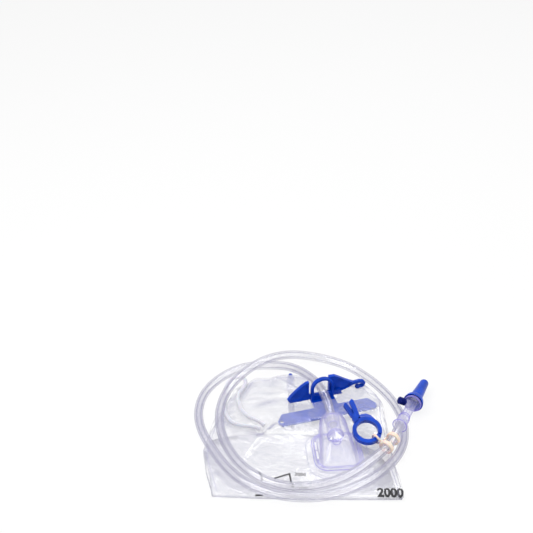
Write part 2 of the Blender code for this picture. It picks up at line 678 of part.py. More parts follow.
def build_hanger(hanger):
    ridge = 0.6 * MM
    outline = [(x * MM, y * MM) for x, y in BLADE_OUTLINE]
    blade = prism("hanger", outline, BLADE_Z, BLADE_TOP_Z - ridge, hanger, "blue_moulding")
    parts = []
    for number, y in enumerate((-27, -22.5, -18, -14.5)):
        bar = rounded_rectangle((40 - 4 * number) * MM, 1.6 * MM, 0.7 * MM, 2, (27 * MM, y * MM))
        parts.append(prism("blade_ridge_%d" % number, bar, BLADE_Z + 0.3 * MM, BLADE_TOP_Z, hanger))
    neck = rounded_rectangle(2 * NECK_HALF_WIDTH, 19 * MM, 1 * MM, 2, (0, -4.5 * MM))
    parts.append(prism("neck", neck, BLADE_Z + 0.1 * MM, BLADE_TOP_Z - 0.1 * MM, hanger))
    riser = rounded_rectangle(2 * NECK_HALF_WIDTH - 0.6 * MM, 4.4 * MM, 0.8 * MM, 2, (0, 2.6 * MM))
    parts.append(prism("riser", riser, BLADE_Z + 0.6 * MM, OUTSIDE_Z + 3 * MM, hanger))
    saddle = [(-24, 12), (24, 12), (22, 19), (12, 18.6), (0, 18), (-12, 18.6), (-22, 19)]
    saddle = [(x * MM, max(z * MM, OUTSIDE_Z)) for x, z in saddle]
    parts.append(upright_prism("saddle", saddle, 1.4 * MM, 4.2 * MM, hanger))
    half_rod, half_depth = ARCH_ROD / 2, ARCH_DEPTH / 2
    section = [(half_rod, -half_depth * 0.6), (half_rod * 0.6, -half_depth), (-half_rod * 0.6, -half_depth),
               (-half_rod, -half_depth * 0.6), (-half_rod, half_depth * 0.6), (-half_rod * 0.6, half_depth),
               (half_rod * 0.6, half_depth), (half_rod, half_depth * 0.6)]
    arch = [(x, half_depth, z) for x, z in arch_path()]
    parts.append(swept("arch", arch, section, hanger))
    left = [(-16.5, 12.6), (-16.8, 37.6), (-20, 37), (-26, 33), (-33, 26.8), (-38.6, 21), (-41.6, 16.5),
            (-39, 12.8), (-28, 12.4)]
    right = [(8, 13.2), (20, 13.6), (33, 17.6), (38.2, 20.5), (38.5, 23.4), (34, 26), (27, 30.4), (20, 35.2),
             (15, 38.2), (8, 38.6)]
    parts.append(wing("left_wing", [(x * MM, z * MM) for x, z in left], 0.6 * MM, hanger))
    parts.append(wing("right_wing", [(x * MM, z * MM) for x, z in right], 3.2 * MM, hanger))
    hook = [(34, 21), (40, 22), (46, 22.6), (49.6, 21.4), (51.5, 18.6), (50.6, 15.9), (47.6, 15.1), (44.6, 15.1)]
    hook = [(x * MM, 5.2 * MM, z * MM) for x, z in hook]
    parts.append(swept("hook", hook, circle(HOOK_ROD / 2, 8), hanger))
    parts.append(ball("hook_ball", (44.2 * MM, 5.2 * MM, 15.1 * MM), HOOK_BALL, hanger))
    combine(blade, parts, "UNION")
    eye = [(x - 56 * MM, y - 24 * MM) for x, y in circle(2.6 * MM, 10)]
    combine(blade, [prism("rope_eye_cutter", eye, 0, 30 * MM, hanger)], "DIFFERENCE")


# Drip chamber
def hood_ring(y, half_width, top, bottom, steps=12):
    """One arched section of the hood, from its right foot over the top to its left foot."""
    points = []
    for step in range(steps + 1):
        turn = math.pi * step / steps
        across, rise = math.cos(turn), math.sin(turn)
        x = math.copysign(abs(across) ** 0.62, across) * half_width
        points.append((x, y, bottom + abs(rise) ** 0.72 * (top - bottom)))
    return points


def hood(name, wall, bottom, chamber):
    """The vaulted hood, narrowed by a wall for the hollow inside it."""
    last = len(HOOD_STATIONS) - 1
    rings = []
    for number, (along, half_width, top) in enumerate(HOOD_STATIONS):
        y = along * (HOOD_END if along > 0 else FLANGE_LENGTH / 2)
        if number == 0:
            y += wall
        elif number == last:
            y -= wall
        rings.append(hood_ring(y, half_width * FLANGE_WIDTH / 2 - wall, top * HOOD_TOP - wall, bottom))
    return loft(name, rings, chamber)


def build_chamber(chamber):
    plate = rounded_rectangle(FLANGE_WIDTH, FLANGE_LENGTH, FLANGE_CORNER)
    shell = prism("chamber_shell", plate, 0, FLANGE_THICK, chamber, "clear_moulding")
    rim_out = rounded_rectangle(FLANGE_WIDTH - 2 * FLANGE_RIM_INSET, FLANGE_LENGTH - 2 * FLANGE_RIM_INSET,
                                FLANGE_CORNER - FLANGE_RIM_INSET)
    rim_in = inset_outline(rim_out, FLANGE_RIM_WIDTH)
    rim_top = FLANGE_THICK + FLANGE_RIM_HEIGHT
    rim = prism("flange_rim", rim_out, 0.2 * MM, rim_top, chamber)
    combine(rim, [prism("rim_cutter", rim_in, -1 * MM, rim_top + 1 * MM, chamber)], "DIFFERENCE")
    outer = hood("hood_outer", 0.0, 0.1 * MM, chamber)
    parts = [rim, outer]
    rail_x = -FLANGE_WIDTH / 2 + VENT_INSET
    for number in range(2):
        x = rail_x + number * VENT_GAP
        bar = rounded_rectangle(VENT_RAIL, VENT_LENGTH, 0.4 * MM, 1, (x, 1 * MM))
        parts.append(prism("vent_rail_%d" % number, bar, 0.3 * MM, FLANGE_THICK + VENT_HEIGHT, chamber))
    for number in range(3):
        bar = rounded_rectangle(VENT_GAP, VENT_RAIL, 0.4 * MM, 1,
                                (rail_x + VENT_GAP / 2, 1 * MM + (number - 1) * (VENT_LENGTH - VENT_RAIL) / 2))
        parts.append(prism("vent_bar_%d" % number, bar, 0.3 * MM, FLANGE_THICK + VENT_HEIGHT, chamber))
    combine(shell, parts, "UNION")
    hollow = hood("hood_hollow", HOOD_WALL, -2 * MM, chamber)
    mouth = circle(HOSE_OD / 2 + FIT + 0.1 * MM, 16)
    mouth = [(x, z + MOUTH_HEIGHT) for x, z in mouth]
    cuts = [hollow, upright_prism("mouth_cutter", mouth, HOOD_END - 5 * MM, HOOD_END + 5 * MM, chamber)]
    combine(shell, cuts, "DIFFERENCE")

    inset = BACK_PLATE_INSET
    back = rounded_rectangle(FLANGE_WIDTH - 2 * inset, FLANGE_LENGTH - 2 * inset, FLANGE_CORNER - inset)
    low = BACK_PLATE_Z - FLANGE_Z
    plate = prism("chamber_back_plate", back, low, low + BACK_PLATE_THICK, chamber, "clear_moulding")
    hole = prism("outlet_cutter", circle(OUTLET_HOLE / 2, 16), low - 1 * MM, low + 3 * MM, chamber)
    combine(plate, [hole], "DIFFERENCE")
    leaf = rounded_rectangle(OUTLET_HOLE + 8 * MM, OUTLET_HOLE + 12 * MM, 4 * MM)
    low = FLAP_Z - FLANGE_Z
    prism("anti_reflux_flap", leaf, low, low + FLAP_THICK, chamber, "clear_film")

    strip = VENT_GAP - VENT_RAIL - 2 * FIT
    half = (VENT_LENGTH - VENT_RAIL) / 2
    for number in range(2):
        bar = rounded_rectangle(strip, half - VENT_RAIL - 2 * FIT, 0.4 * MM, 1,
                                (rail_x + VENT_GAP / 2, 1 * MM + (number - 0.5) * half))
        low = FLANGE_THICK + FLANGE_RIM_HEIGHT + FIT
        prism("vent_membrane_%d" % (number + 1), bar, low, low + 0.5 * MM, chamber, "clear_film")


def build_nozzle(chamber):
    """The barrel in the chamber's mouth: the hose seats in it and drips fall from its tip."""
    frame = add_frame("nozzle_frame", Matrix())
    frame.parent = chamber
    frame.matrix_parent_inverse = Matrix()
    frame.location = (0, HOOD_END - HOOD_WALL - FIT, MOUTH_HEIGHT)
    frame.rotation_euler = (math.radians(90), 0, 0)
    outside, bore = BARREL_OD / 2, HOSE_OD / 2 + FIT + 0.1 * MM
    stop, end = HOOD_END - HOOD_WALL - HOSE_START, BARREL_LENGTH
    wall, ring_end = outside - 0.6 * MM, BARREL_RING_AT + BARREL_RING_LENGTH
    profile = [(bore, 0), (wall - 1.0 * MM, 0), (wall, 1.0 * MM), (wall, BARREL_RING_AT),
               (wall + BARREL_STEP, BARREL_RING_AT), (wall + BARREL_STEP, ring_end), (wall - 0.8 * MM, ring_end),
               (wall - 1.2 * MM, end - 3 * MM), (DRIP_HOLE / 2 + 1.2 * MM, end),
               (DRIP_HOLE / 2, end), (DRIP_HOLE / 2, stop + 2.4 * MM), (bore, stop)]
    turned("drip_nozzle", profile, 20, frame, "clear_moulding")


# Connector, septum and cap
def build_connector():
    frame = add_frame("connector_frame", connector_matrix())
    bore = HOSE_OD / 2 + FIT + 0.1 * MM
    socket, body, disc = SOCKET_OD / 2, CONNECTOR_BODY_OD / 2, DISC_OD / 2
    spigot_end = DISC_AT + DISC_THICK + SPIGOT_LENGTH
    profile = [(bore, 0), (socket + SOCKET_RIM, 0), (socket + SOCKET_RIM, 1.4 * MM), (socket, 1.8 * MM),
               (socket, SOCKET_LENGTH - 3 * MM), (socket - 0.6 * MM, SOCKET_LENGTH),
               (body, SOCKET_LENGTH + 4 * MM), (body - 0.4 * MM, DISC_AT), (disc, DISC_AT),
               (disc, DISC_AT + DISC_THICK), (SPIGOT_ROOT / 2, DISC_AT + DISC_THICK),
               (SPIGOT_TIP / 2, spigot_end), (BORE / 2, spigot_end), (BORE / 2, SOCKET_DEPTH), (bore, SOCKET_DEPTH)]
    connector = turned("connector", profile, 20, frame, "clear_moulding")
    arm = add_frame("arm_frame", Matrix())
    arm.parent = frame
    away = Vector((0.74, 0.42, -0.52)).normalized()
    arm.matrix_local = Matrix.Translation((0, 0, ARM_AT)) @ away.to_track_quat("Z", "Y").to_matrix().to_4x4()
    limb = turned("sampling_arm", [(0, 2.6 * MM), (ARM_OD / 2, 2.6 * MM), (ARM_OD / 2, ARM_LENGTH),
                                   (0, ARM_LENGTH)], 14, arm)
    combine(connector, [limb], "UNION")
    start = ARM_LENGTH + FIT
    profile = [(0, start), (SEPTUM_OD / 2 - 0.5 * MM, start), (SEPTUM_OD / 2, start + 0.6 * MM),
               (SEPTUM_OD / 2, start + SEPTUM_LENGTH - 1 * MM), (SEPTUM_OD / 2 - 1 * MM, start + SEPTUM_LENGTH),
               (0, start + SEPTUM_LENGTH)]
    turned("sampling_septum", profile, 16, arm, "blue_moulding")
    return frame


def build_cap(frame):
    """The protective cap: a bell over the disc and a long cone over the spigot."""
    start = DISC_AT + DISC_THICK + CAP_CLEARANCE
    bell, root, tip = CAP_BELL_OD / 2, CAP_ROOT_OD / 2, CAP_TIP_OD / 2
    end = start + CAP_LENGTH
    hollow_end = DISC_AT + DISC_THICK + SPIGOT_LENGTH + 2 * MM
    hollow_tip = max(SPIGOT_TIP / 2 + CAP_CLEARANCE, tip - CAP_WALL)
    profile = [(bell, start), (bell, start + 1.6 * MM), (bell - 1.0 * MM, start + CAP_BELL_DEPTH * 0.55),
               (root + 1.4 * MM, start + CAP_BELL_DEPTH - 1.2 * MM), (root, start + CAP_BELL_DEPTH),
               (tip, end - 3.2 * MM), (tip * 0.86, end - 1.4 * MM), (tip * 0.5, end - 0.3 * MM), (0, end),
               (0, hollow_end + 2 * MM), (hollow_tip * 0.8, hollow_end + 1 * MM), (hollow_tip, hollow_end - 1 * MM),
               (root - CAP_WALL, start + CAP_BELL_DEPTH), (root - CAP_WALL + 1 * MM, start + CAP_BELL_DEPTH - 2.4 * MM),
               (bell - CAP_WALL - 1.0 * MM, start + CAP_BELL_DEPTH * 0.5), (bell - CAP_WALL, start + 1.2 * MM)]
    turned("protective_cap", profile, 24, frame, "blue_moulding")


# Sheet clip
def clip_matrix():
    return Matrix.Translation(CLIP_PLACE) @ Matrix.Rotation(math.radians(CLIP_TILT), 4, "X")


def build_clip():
    """One moulding: a C ring whose jaws run on into two crossing handles."""
    frame = add_frame("clip_frame", clip_matrix())
    inner, outer, half = CLIP_BORE, CLIP_BORE + CLIP_JAW, CLIP_HEIGHT / 2
    ring = turned("sheet_clip", [(inner, -half), (outer, -half), (outer, half), (inner, half)], 36, frame,
                  "blue_moulding")
    crown = [(-9.6, 18.4), (0, 20.3), (5.0, 18.2), (13.6, 8.6), (14.2, 4.5), (11.0, 8.0), (4, 14), (-6, 14.5)]
    parts = [prism("clip_crown", [(x * MM, y * MM) for x, y in crown], -half + 0.2 * MM, half - 0.2 * MM, frame)]
    near = [(-13.2, 8.0), (-9.4, 12.0), (-7.6, 17.8), (-12.8, 36.6), (-15.2, 38.2), (-17.6, 35.2), (-13.6, 20.4),
            (-16.0, 13.0)]
    far = [(-4.0, 14.5), (-3.0, 19.0), (-12.4, 21.6), (-20.2, 35.0), (-22.6, 35.4), (-24.0, 32.0), (-16.4, 18.2),
           (-9.0, 14.0)]
    parts.append(prism("near_handle", [(x * MM, y * MM) for x, y in near], 0.3 * MM, half + 1.2 * MM, frame))
    parts.append(prism("far_handle", [(x * MM, y * MM) for x, y in far], -half - 0.4 * MM, 0.6 * MM, frame))
    combine(ring, parts, "UNION")
    angle = math.radians(CLIP_MOUTH_ANGLE)
    way = Vector((math.cos(angle), math.sin(angle)))
    side = Vector((-way.y, way.x)) * CLIP_MOUTH_WIDTH / 2
    slit = [way * 8 * MM - side, way * 22 * MM - side, way * 22 * MM + side, way * 8 * MM + side]
    cutter = prism("mouth_slit_cutter", [tuple(p) for p in slit], -10 * MM, 10 * MM, frame)
    combine(ring, [cutter], "DIFFERENCE")
    return frame


def ring_matrix(centre, axis):
    return Matrix.Translation(centre) @ axis.to_track_quat("Z", "Y").to_matrix().to_4x4()


def flat_ring(name, centre, axis, material=None):
    """One of the band's two rings on the hose: a flat band with round edges."""
    frame = add_frame(name + "_frame", ring_matrix(centre, axis))
    inner = HOSE_OD / 2 + BAND_HOSE_GAP
    outer, half, edge = inner + BAND_THICK, BAND_WIDTH / 2, BAND_THICK * 0.3
    profile = [(inner, -half + edge), (inner + edge, -half), (outer - edge, -half), (outer, -half + edge),
               (outer, half - edge), (outer - edge, half), (inner + edge, half), (inner, half - edge)]
    return turned(name, profile, 24, frame, material)


def wire_ring(name, centre, axis, radius):
    """A round ring of the band's wire about an axis."""
    turn = ring_matrix(centre, axis)
    path = [turn @ Vector((x, y, 0)) for x, y in circle(radius, 20)]
    return swept(name, path, circle(BAND_WIRE / 2, 8), closed=True)


def hose_point_at(route, y):
    """Where the hose's last stretch passes a given Y."""
    for before, after in zip(route[-2::-1], route[::-1]):
        if before.y <= y <= after.y:
            return before.lerp(after, (y - before.y) / (after.y - before.y))
    return route[-1]


def band_places(route):
    """Centres of the two rings on the hose, and the jaw's centre and direction."""
    one, two = (hose_point_at(route, y) for y in BAND_AT)
    clip = clip_matrix()
    middle = CLIP_BORE + CLIP_JAW / 2
    jaw = clip @ Vector((middle * math.cos(JAW_ANGLE), middle * math.sin(JAW_ANGLE), 0))
    along = clip.to_3x3() @ Vector((-math.sin(JAW_ANGLE), math.cos(JAW_ANGLE), 0))
    return one, two, jaw, along


def build_band(route):
    """The rubber band: two rings on the hose, a strap between them and a loop round the clip's jaw."""
    one, two, jaw, along = band_places(route)
    axis = (one - two).normalized()
    band = flat_ring("rubber_band", one, axis, "peach_rubber")
    parts = [flat_ring("second_ring", two, axis)]
    loop_radius = math.hypot(CLIP_JAW, CLIP_HEIGHT) / 2 + BAND_JAW_GAP + BAND_WIRE / 2
    parts.append(wire_ring("jaw_loop", jaw, along, loop_radius))
    radius = HOSE_OD / 2 + BAND_HOSE_GAP + BAND_THICK / 2 + 0.4 * MM
    middle = one.lerp(two, 0.5)
    toward = jaw - middle
    toward = (toward - axis * toward.dot(axis)).normalized()
    wire = circle(BAND_WIRE / 2 * 0.96, 8)
    strap = [one + toward * radius, middle + toward * (radius + 0.4 * MM), two + toward * radius]
    parts.append(swept("ring_strap", strap, wire))
    back = middle - jaw
    back = (back - along * back.dot(along)).normalized()
    tie = [middle + toward * (radius + 0.2 * MM), jaw + back * loop_radius]
    parts.append(swept("jaw_strap", tie, wire))
    combine(band, parts, "UNION")


# Drain folded under the bag
def build_drain():
    frame = add_frame("drain_frame", Matrix.Translation((DRAIN_X, 0, 0)))
    bore, outside = DRAIN_TUBE_BORE / 2, DRAIN_TUBE_OD / 2
    fit_end = SEAM_Y + 12 * MM
    lie = Matrix.Rotation(math.radians(-90), 4, "X")
    tube_frame = add_frame("tube_frame", Matrix.Translation((DRAIN_X, 0, TUBE_Z)) @ lie)
    boat = [(-9, -1.2), (-5, -2.9), (0, -3.4), (5, -2.9), (9, -1.2), (9, 1.2), (5, 2.4), (0, 2.8), (-5, 2.4), (-9, 1.2)]
    start = SEAM_Y + FIT
    fitment = upright_prism("drain_fitment", [(x * MM, TUBE_Z + z * MM) for x, z in boat], start, start + 5 * MM,
                            frame, "clear_moulding")
    nipple = turned("drain_nipple", [(0, start + 4 * MM), (bore - FIT, start + 4 * MM),
                                     (bore - FIT - 0.3 * MM, fit_end + 3 * MM), (0, fit_end + 3 * MM)], 14, tube_frame)
    combine(fitment, [nipple], "UNION")
    through = turned("drain_bore", [(0, start - 1 * MM), (1.1 * MM, start - 1 * MM), (1.1 * MM, fit_end + 5 * MM),
                                    (0, fit_end + 5 * MM)], 10, tube_frame)
    combine(fitment, [through], "DIFFERENCE")
    tube_start = start + 5 * MM + FIT
    tube_end = VALVE_START + NIPPLE_LENGTH - FIT
    turned("drain_tube", [(bore, tube_start), (outside, tube_start), (outside, tube_end), (bore, tube_end)], 16,
           tube_frame, "clear_hose")
    valve_frame = add_frame("valve_frame", Matrix.Translation((DRAIN_X, 0, VALVE_Z)) @ lie)
    outer = VALVE_OD / 2
    body_start = VALVE_START + NIPPLE_LENGTH
    body = turned("valve_body", [(0, body_start), (outer - 1 * MM, body_start), (outer, body_start + 1 * MM),
                                 (outer, VALVE_END - 1 * MM), (outer - 1 * MM, VALVE_END), (0, VALVE_END)],
                  18, valve_frame, "clear_moulding")
    nipple = turned("valve_nipple", [(0, VALVE_START), (bore - FIT, VALVE_START), (bore - FIT, body_start + 2 * MM),
                                     (0, body_start + 2 * MM)], 14, tube_frame)
    combine(body, [nipple], "UNION")
    rod = SLIDER_OD / 2
    deep = VALVE_END - 14 * MM
    cuts = [prism("slider_bore_cutter", circle(rod + FIT, 16, 0.1), deep, VALVE_END + 3 * MM, valve_frame)]
    port = [[(x, VALVE_END - 9 * MM + a, b) for a, b in circle(1.5 * MM, 10)] for x in (-12 * MM, -1 * MM)]
    cuts.append(loft("outlet_port_cutter", port, frame))
    cuts[-1].location.z = VALVE_Z
    combine(body, cuts, "DIFFERENCE")
    grip = VALVE_END + FIT
    turned("valve_slider", [(0, deep + 7 * MM), (rod, deep + 7 * MM), (rod, grip), (rod + 1.6 * MM, grip),
                            (rod + 1.6 * MM, grip + 2 * MM), (rod, grip + 2.4 * MM),
                            (rod - 0.3 * MM, grip + 8.4 * MM), (rod - 1 * MM, grip + 9.2 * MM),
                            (0, grip + 9.6 * MM)], 16, valve_frame, "blue_moulding")


def main():
    clear_scene()
    route = hose_points(HOSE_OD * 1.65)
    hanger = add_frame("hanger_frame", Matrix.Translation(HANGER_PLACE) @ Matrix.Rotation(HANGER_TURN, 4, "Z"))
    chamber = add_frame("chamber_frame", chamber_matrix())
    build_bag([(hose_points(5 * MM), HOSE_OD), (rope_points(4 * MM), ROPE_OD)], hanger, chamber)
    build_hanger(hanger)
    build_chamber(chamber)
    build_nozzle(chamber)
    cord("hose", route, HOSE_OD, "clear_hose", 3)
    cord("hanging_rope", rope_points(8 * MM), ROPE_OD, "white_rope", 2)
    build_cap(build_connector())
    build_clip()
    build_band(route)
    build_drain()


main()
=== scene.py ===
"""Looks of a folded urine drainage bag with its inlet hose, built round the fixed frame of its solids."""

from __future__ import annotations

import json
import logging
import math
from collections.abc import Callable, Sequence
from dataclasses import dataclass, field
from enum import Enum

import bmesh
import bpy
import numpy as np
from mathutils import Matrix, Vector, noise
from mathutils.bvhtree import BVHTree

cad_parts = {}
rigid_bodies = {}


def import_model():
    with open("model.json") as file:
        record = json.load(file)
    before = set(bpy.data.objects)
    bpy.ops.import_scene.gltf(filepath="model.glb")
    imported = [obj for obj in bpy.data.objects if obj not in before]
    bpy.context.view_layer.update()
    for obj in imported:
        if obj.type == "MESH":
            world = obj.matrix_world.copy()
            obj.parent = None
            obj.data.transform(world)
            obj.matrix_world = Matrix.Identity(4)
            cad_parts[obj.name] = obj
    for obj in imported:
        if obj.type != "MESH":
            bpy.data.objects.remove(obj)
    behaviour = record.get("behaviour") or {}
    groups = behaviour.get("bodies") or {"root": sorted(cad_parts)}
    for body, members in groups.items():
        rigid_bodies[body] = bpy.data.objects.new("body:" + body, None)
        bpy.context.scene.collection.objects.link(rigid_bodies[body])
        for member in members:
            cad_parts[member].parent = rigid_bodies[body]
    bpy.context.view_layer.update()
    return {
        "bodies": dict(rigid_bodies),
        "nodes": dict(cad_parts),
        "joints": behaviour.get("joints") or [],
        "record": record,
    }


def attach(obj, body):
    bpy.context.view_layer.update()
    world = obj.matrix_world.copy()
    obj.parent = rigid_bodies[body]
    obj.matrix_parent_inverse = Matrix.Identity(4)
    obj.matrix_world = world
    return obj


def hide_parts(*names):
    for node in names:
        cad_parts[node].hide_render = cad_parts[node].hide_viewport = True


LOG = logging.getLogger("drainage_bag")
MM = 0.001
SHARP_ANGLE = math.radians(38)
JOINED_SHARP_ANGLE = math.radians(40)
SIZE_PER_DIGIT = 1.38
ON_AXIS = 1e-7
LONGEST_ROUNDING = 0.45
SHORTEST_ROUNDING = 1e-6
SPLINE_STEPS = 1500
RIPPLE_GROUP = "surface_ripple"
MASK_SPAN = (0.35, 0.65)
PLASTIC_IOR = 1.5
FRESNEL_SPAN = (0.04, 0.8)
BEAD_SIDES = 8
ROUND_STEPS = 48
Point = tuple[float, float, float]
Colour = tuple[float, float, float]
Pair = tuple[float, float]


class Body(Enum):
    """The bodies of the frame that a piece can ride on."""

    BAG = "bag"
    CAP = "cap"
    BAND = "band"
    CLIP = "clip"
    SLIDER = "slider"


class Slot(Enum):
    """The record's material slots, one named for each piece."""

    FILM = "clear_film"
    MOULDING = "clear_moulding"
    HOSE = "clear_hose"
    BLUE = "blue_moulding"
    SEPTUM = "blue_rubber"
    BAND = "peach_rubber"
    ROPE = "white_rope"
    MEMBRANE = "vent_membrane"
    PRINT = ""


# Outline of the folded bag's upper half, seams only, in millimetres
SEAM_OUTLINE = [
    (-92, -91), (-100, -60), (-105, -29), (-99, 1), (-95, 16), (-84, 44), (-74, 68), (-64, 83), (-52, 90),
    (-31, 91), (-13, 92), (28, 90), (66, 88), (78, 79), (88, 60), (95, 55), (98, 32), (99, 6), (102, -57),
    (104, -75), (105, -95.5),
]

# Sizes that the solids have too
FIT = 0.30 * MM
FLOOR_GAP = 0.10 * MM
FILM = 0.50 * MM
FILM_STEP = 0.80 * MM
FILM_PUFF = 5.10 * MM
HOSE_OD = 10.2 * MM
HOSE_BORE = 6.6 * MM
ROPE_OD = 4.5 * MM
TUBE_OD = 7.0 * MM
FLANGE_Z = FILM / 2 + FILM_STEP + FILM + 0.35 * MM + FILM_PUFF + FILM / 2 + FIT
MOUTH_HEIGHT = 9.6 * MM
HOOD_END = 44 * MM
HOSE_START = 33 * MM
CHAMBER_PLACE = Vector((40.5 * MM, -34.5 * MM, FLANGE_Z))
CHAMBER_TURN = math.radians(5)
CONNECTOR_TURN = math.radians(-25.5)
CONNECTOR_DIP = math.radians(5.5)
SOCKET_DEPTH = 11 * MM
HOSE_END = Vector((114.6, 3.4, 18.2)) * MM
CLIP_PLACE = Vector((74 * MM, -12.6 * MM, 17.8 * MM))
CLIP_TILT = math.radians(17)
CLIP_BORE = 11.7 * MM
CLIP_JAW = 4.4 * MM
CLIP_HEIGHT = 6.0 * MM
JAW_ANGLE = math.radians(-48)

# Routes given point by point, in millimetres
HOSE_ROUTE = [
    (34.3, 27.0, 19.8), (29.6, 42.0, 24.0), (22.9, 58.5, 24.9), (14.5, 75.0, 21.6), (3.0, 91.5, 17.7),
    (-12.5, 106.0, 12.3), (-31.0, 114.0, 7.3), (-58.5, 113.5, 5.4), (-88.0, 94.5, 5.3), (-107.0, 65.5, 5.3),
    (-112.5, 30.5, 5.5), (-106.0, -3.5, 7.6), (-91.5, -36.0, 9.4), (-73.0, -66.0, 10.4),
    (-47.0, -89.0, 10.9), (21.5, -100.5, 10.4), (54.5, -89.0, 11.0), (104.0, -41.5, 8.8),
    (116.0, -8.0, 5.5), (116.0, 27.5, 5.3), (86.0, 91.0, 5.3), (61.0, 115.5, 5.4), (29.0, 129.5, 6.6),
    (-5.5, 126.5, 13.6), (-36.5, 110.5, 18.4), (-62.5, 88.0, 16.4), (-80.5, 58.5, 14.4),
    (-88.0, 24.0, 12.9), (-71.5, -43.5, 12.0), (-49.5, -71.0, 11.7), (-18.5, -87.0, 11.4),
    (16.5, -87.5, 12.0), (47.0, -76.5, 13.8), (75.0, -55.0, 16.0),
]
ROPE_ROUTE = [
    (-38.0, 8.5, 6.6), (-43.5, 12.0, 9.2), (-53.0, 18.0, 9.8), (-61.5, 27.0, 9.8), (-66.5, 40.0, 9.6),
    (-68.5, 53.0, 8.8), (-66.0, 65.0, 7.6), (-61.5, 76.0, 6.6), (-60.5, 86.5, 6.0), (-66.0, 95.0, 4.4),
    (-75.0, 95.0, 3.0), (-81.5, 86.0, 2.6), (-83.5, 74.0, 3.2), (-84.0, 60.0, 4.6), (-83.5, 45.0, 5.8),
    (-82.0, 31.0, 5.9), (-77.5, 18.5, 7.2), (-70.5, 9.5, 8.8), (-61.0, 5.0, 9.6), (-51.0, 3.5, 9.2),
    (-43.2, 3.4, 6.6),
]


# Curves
def spline_through(points: Sequence[Sequence[float]], spacing: float) -> list[Vector]:
    """Points along the natural cubic spline through a route.

    Args:
        points: The route's own points, in metres.
        spacing: The wanted distance between the points that come back.

    Returns:
        Evenly spaced points from the first to the last.
    """
    knots = np.array(points, dtype=float)
    chord = np.concatenate([[0], np.cumsum(np.linalg.norm(np.diff(knots, axis=0), axis=1))])
    count = len(knots)
    gap = np.diff(chord)
    matrix = np.zeros((count, count))
    right = np.zeros((count, 3))
    matrix[0, 0] = matrix[-1, -1] = 1
    for i in range(1, count - 1):
        matrix[i, i - 1:i + 2] = gap[i - 1], 2 * (gap[i - 1] + gap[i]), gap[i]
        right[i] = 6 * ((knots[i + 1] - knots[i]) / gap[i] - (knots[i] - knots[i - 1]) / gap[i - 1])
    bend = np.linalg.solve(matrix, right)
    fine = []
    for place in np.linspace(0, chord[-1], SPLINE_STEPS):
        i = min(max(int(np.searchsorted(chord, place)) - 1, 0), count - 2)
        left, rest = chord[i + 1] - place, place - chord[i]
        curve = (bend[i] * left ** 3 + bend[i + 1] * rest ** 3) / (6 * gap[i])
        start = (knots[i] / gap[i] - bend[i] * gap[i] / 6) * left
        end = (knots[i + 1] / gap[i] - bend[i + 1] * gap[i] / 6) * rest
        fine.append(curve + start + end)
    line = np.array(fine)
    length = np.concatenate([[0], np.cumsum(np.linalg.norm(np.diff(line, axis=0), axis=1))])
    steps = max(2, round(length[-1] / spacing))
    return [Vector([np.interp(place, length, line[:, k]) for k in range(3)])
            for place in np.linspace(0, length[-1], steps + 1)]


def chamber_matrix() -> Matrix:
    """Place of the drip chamber: its flange's underside, +Y towards the mouth."""
    return Matrix.Translation(CHAMBER_PLACE) @ Matrix.Rotation(CHAMBER_TURN, 4, "Z")


def connector_matrix() -> Matrix:
    """Place of the connector: its mouth, +Z towards the cap.

    Returns:
        The connector's matrix.
    """
    along = Vector((-math.sin(CONNECTOR_TURN) * math.cos(CONNECTOR_DIP),
                    math.cos(CONNECTOR_TURN) * math.cos(CONNECTOR_DIP), -math.sin(CONNECTOR_DIP)))
    side = Vector((-along.y, along.x, 0)).normalized()
    turn = Matrix((side, along.cross(side), along)).transposed().to_4x4()
    return Matrix.Translation(HOSE_END - along * (SOCKET_DEPTH - FIT)) @ turn


def clip_matrix() -> Matrix:
    """Place of the sheet clip: its ring's centre."""
    return Matrix.Translation(CLIP_PLACE) @ Matrix.Rotation(CLIP_TILT, 4, "X")


def clip_jaw() -> tuple[Vector, Vector]:
    """Middle of the clip's jaw that the band holds, and the jaw's direction there.

    Returns:
        A point and a direction.
    """
    middle = CLIP_BORE + CLIP_JAW / 2
    jaw = clip_matrix() @ Vector((middle * math.cos(JAW_ANGLE), middle * math.sin(JAW_ANGLE), 0))
    along = clip_matrix().to_3x3() @ Vector((-math.sin(JAW_ANGLE), math.cos(JAW_ANGLE), 0))
    return jaw, along


def axis_matrix(centre: Vector, axis: Vector) -> Matrix:
    """A place whose +Z runs along an axis."""
    return Matrix.Translation(centre) @ axis.to_track_quat("Z", "Y").to_matrix().to_4x4()


def hose_point_at(line: Sequence[Vector], y: float) -> Vector:
    """Where the hose's last stretch passes a given Y.

    Args:
        line: The hose's centre line.
        y: The wanted Y.

    Returns:
        The point, or the line's end where it never gets there.
    """
    for before, after in zip(line[-2::-1], line[::-1]):
        if before.y <= y <= after.y:
            return before.lerp(after, (y - before.y) / (after.y - before.y))
    return line[-1]


def hose_points(spacing: float) -> list[Vector]:
    """The hose's centre line from the chamber's barrel to the connector's socket.

    Args:
        spacing: Distance between its points.

    Returns:
        The points, in metres.
    """
    chamber, socket = chamber_matrix(), connector_matrix()
    start = [chamber @ Vector((0, y, MOUTH_HEIGHT)) for y in (HOSE_START, HOOD_END + 1 * MM)]
    end = [socket @ Vector((0, -3.2 * MM, -22 * MM)), socket @ Vector((0, 0, -1 * MM)), HOSE_END]
    return spline_through(start + [Vector(p) * MM for p in HOSE_ROUTE] + end, spacing)


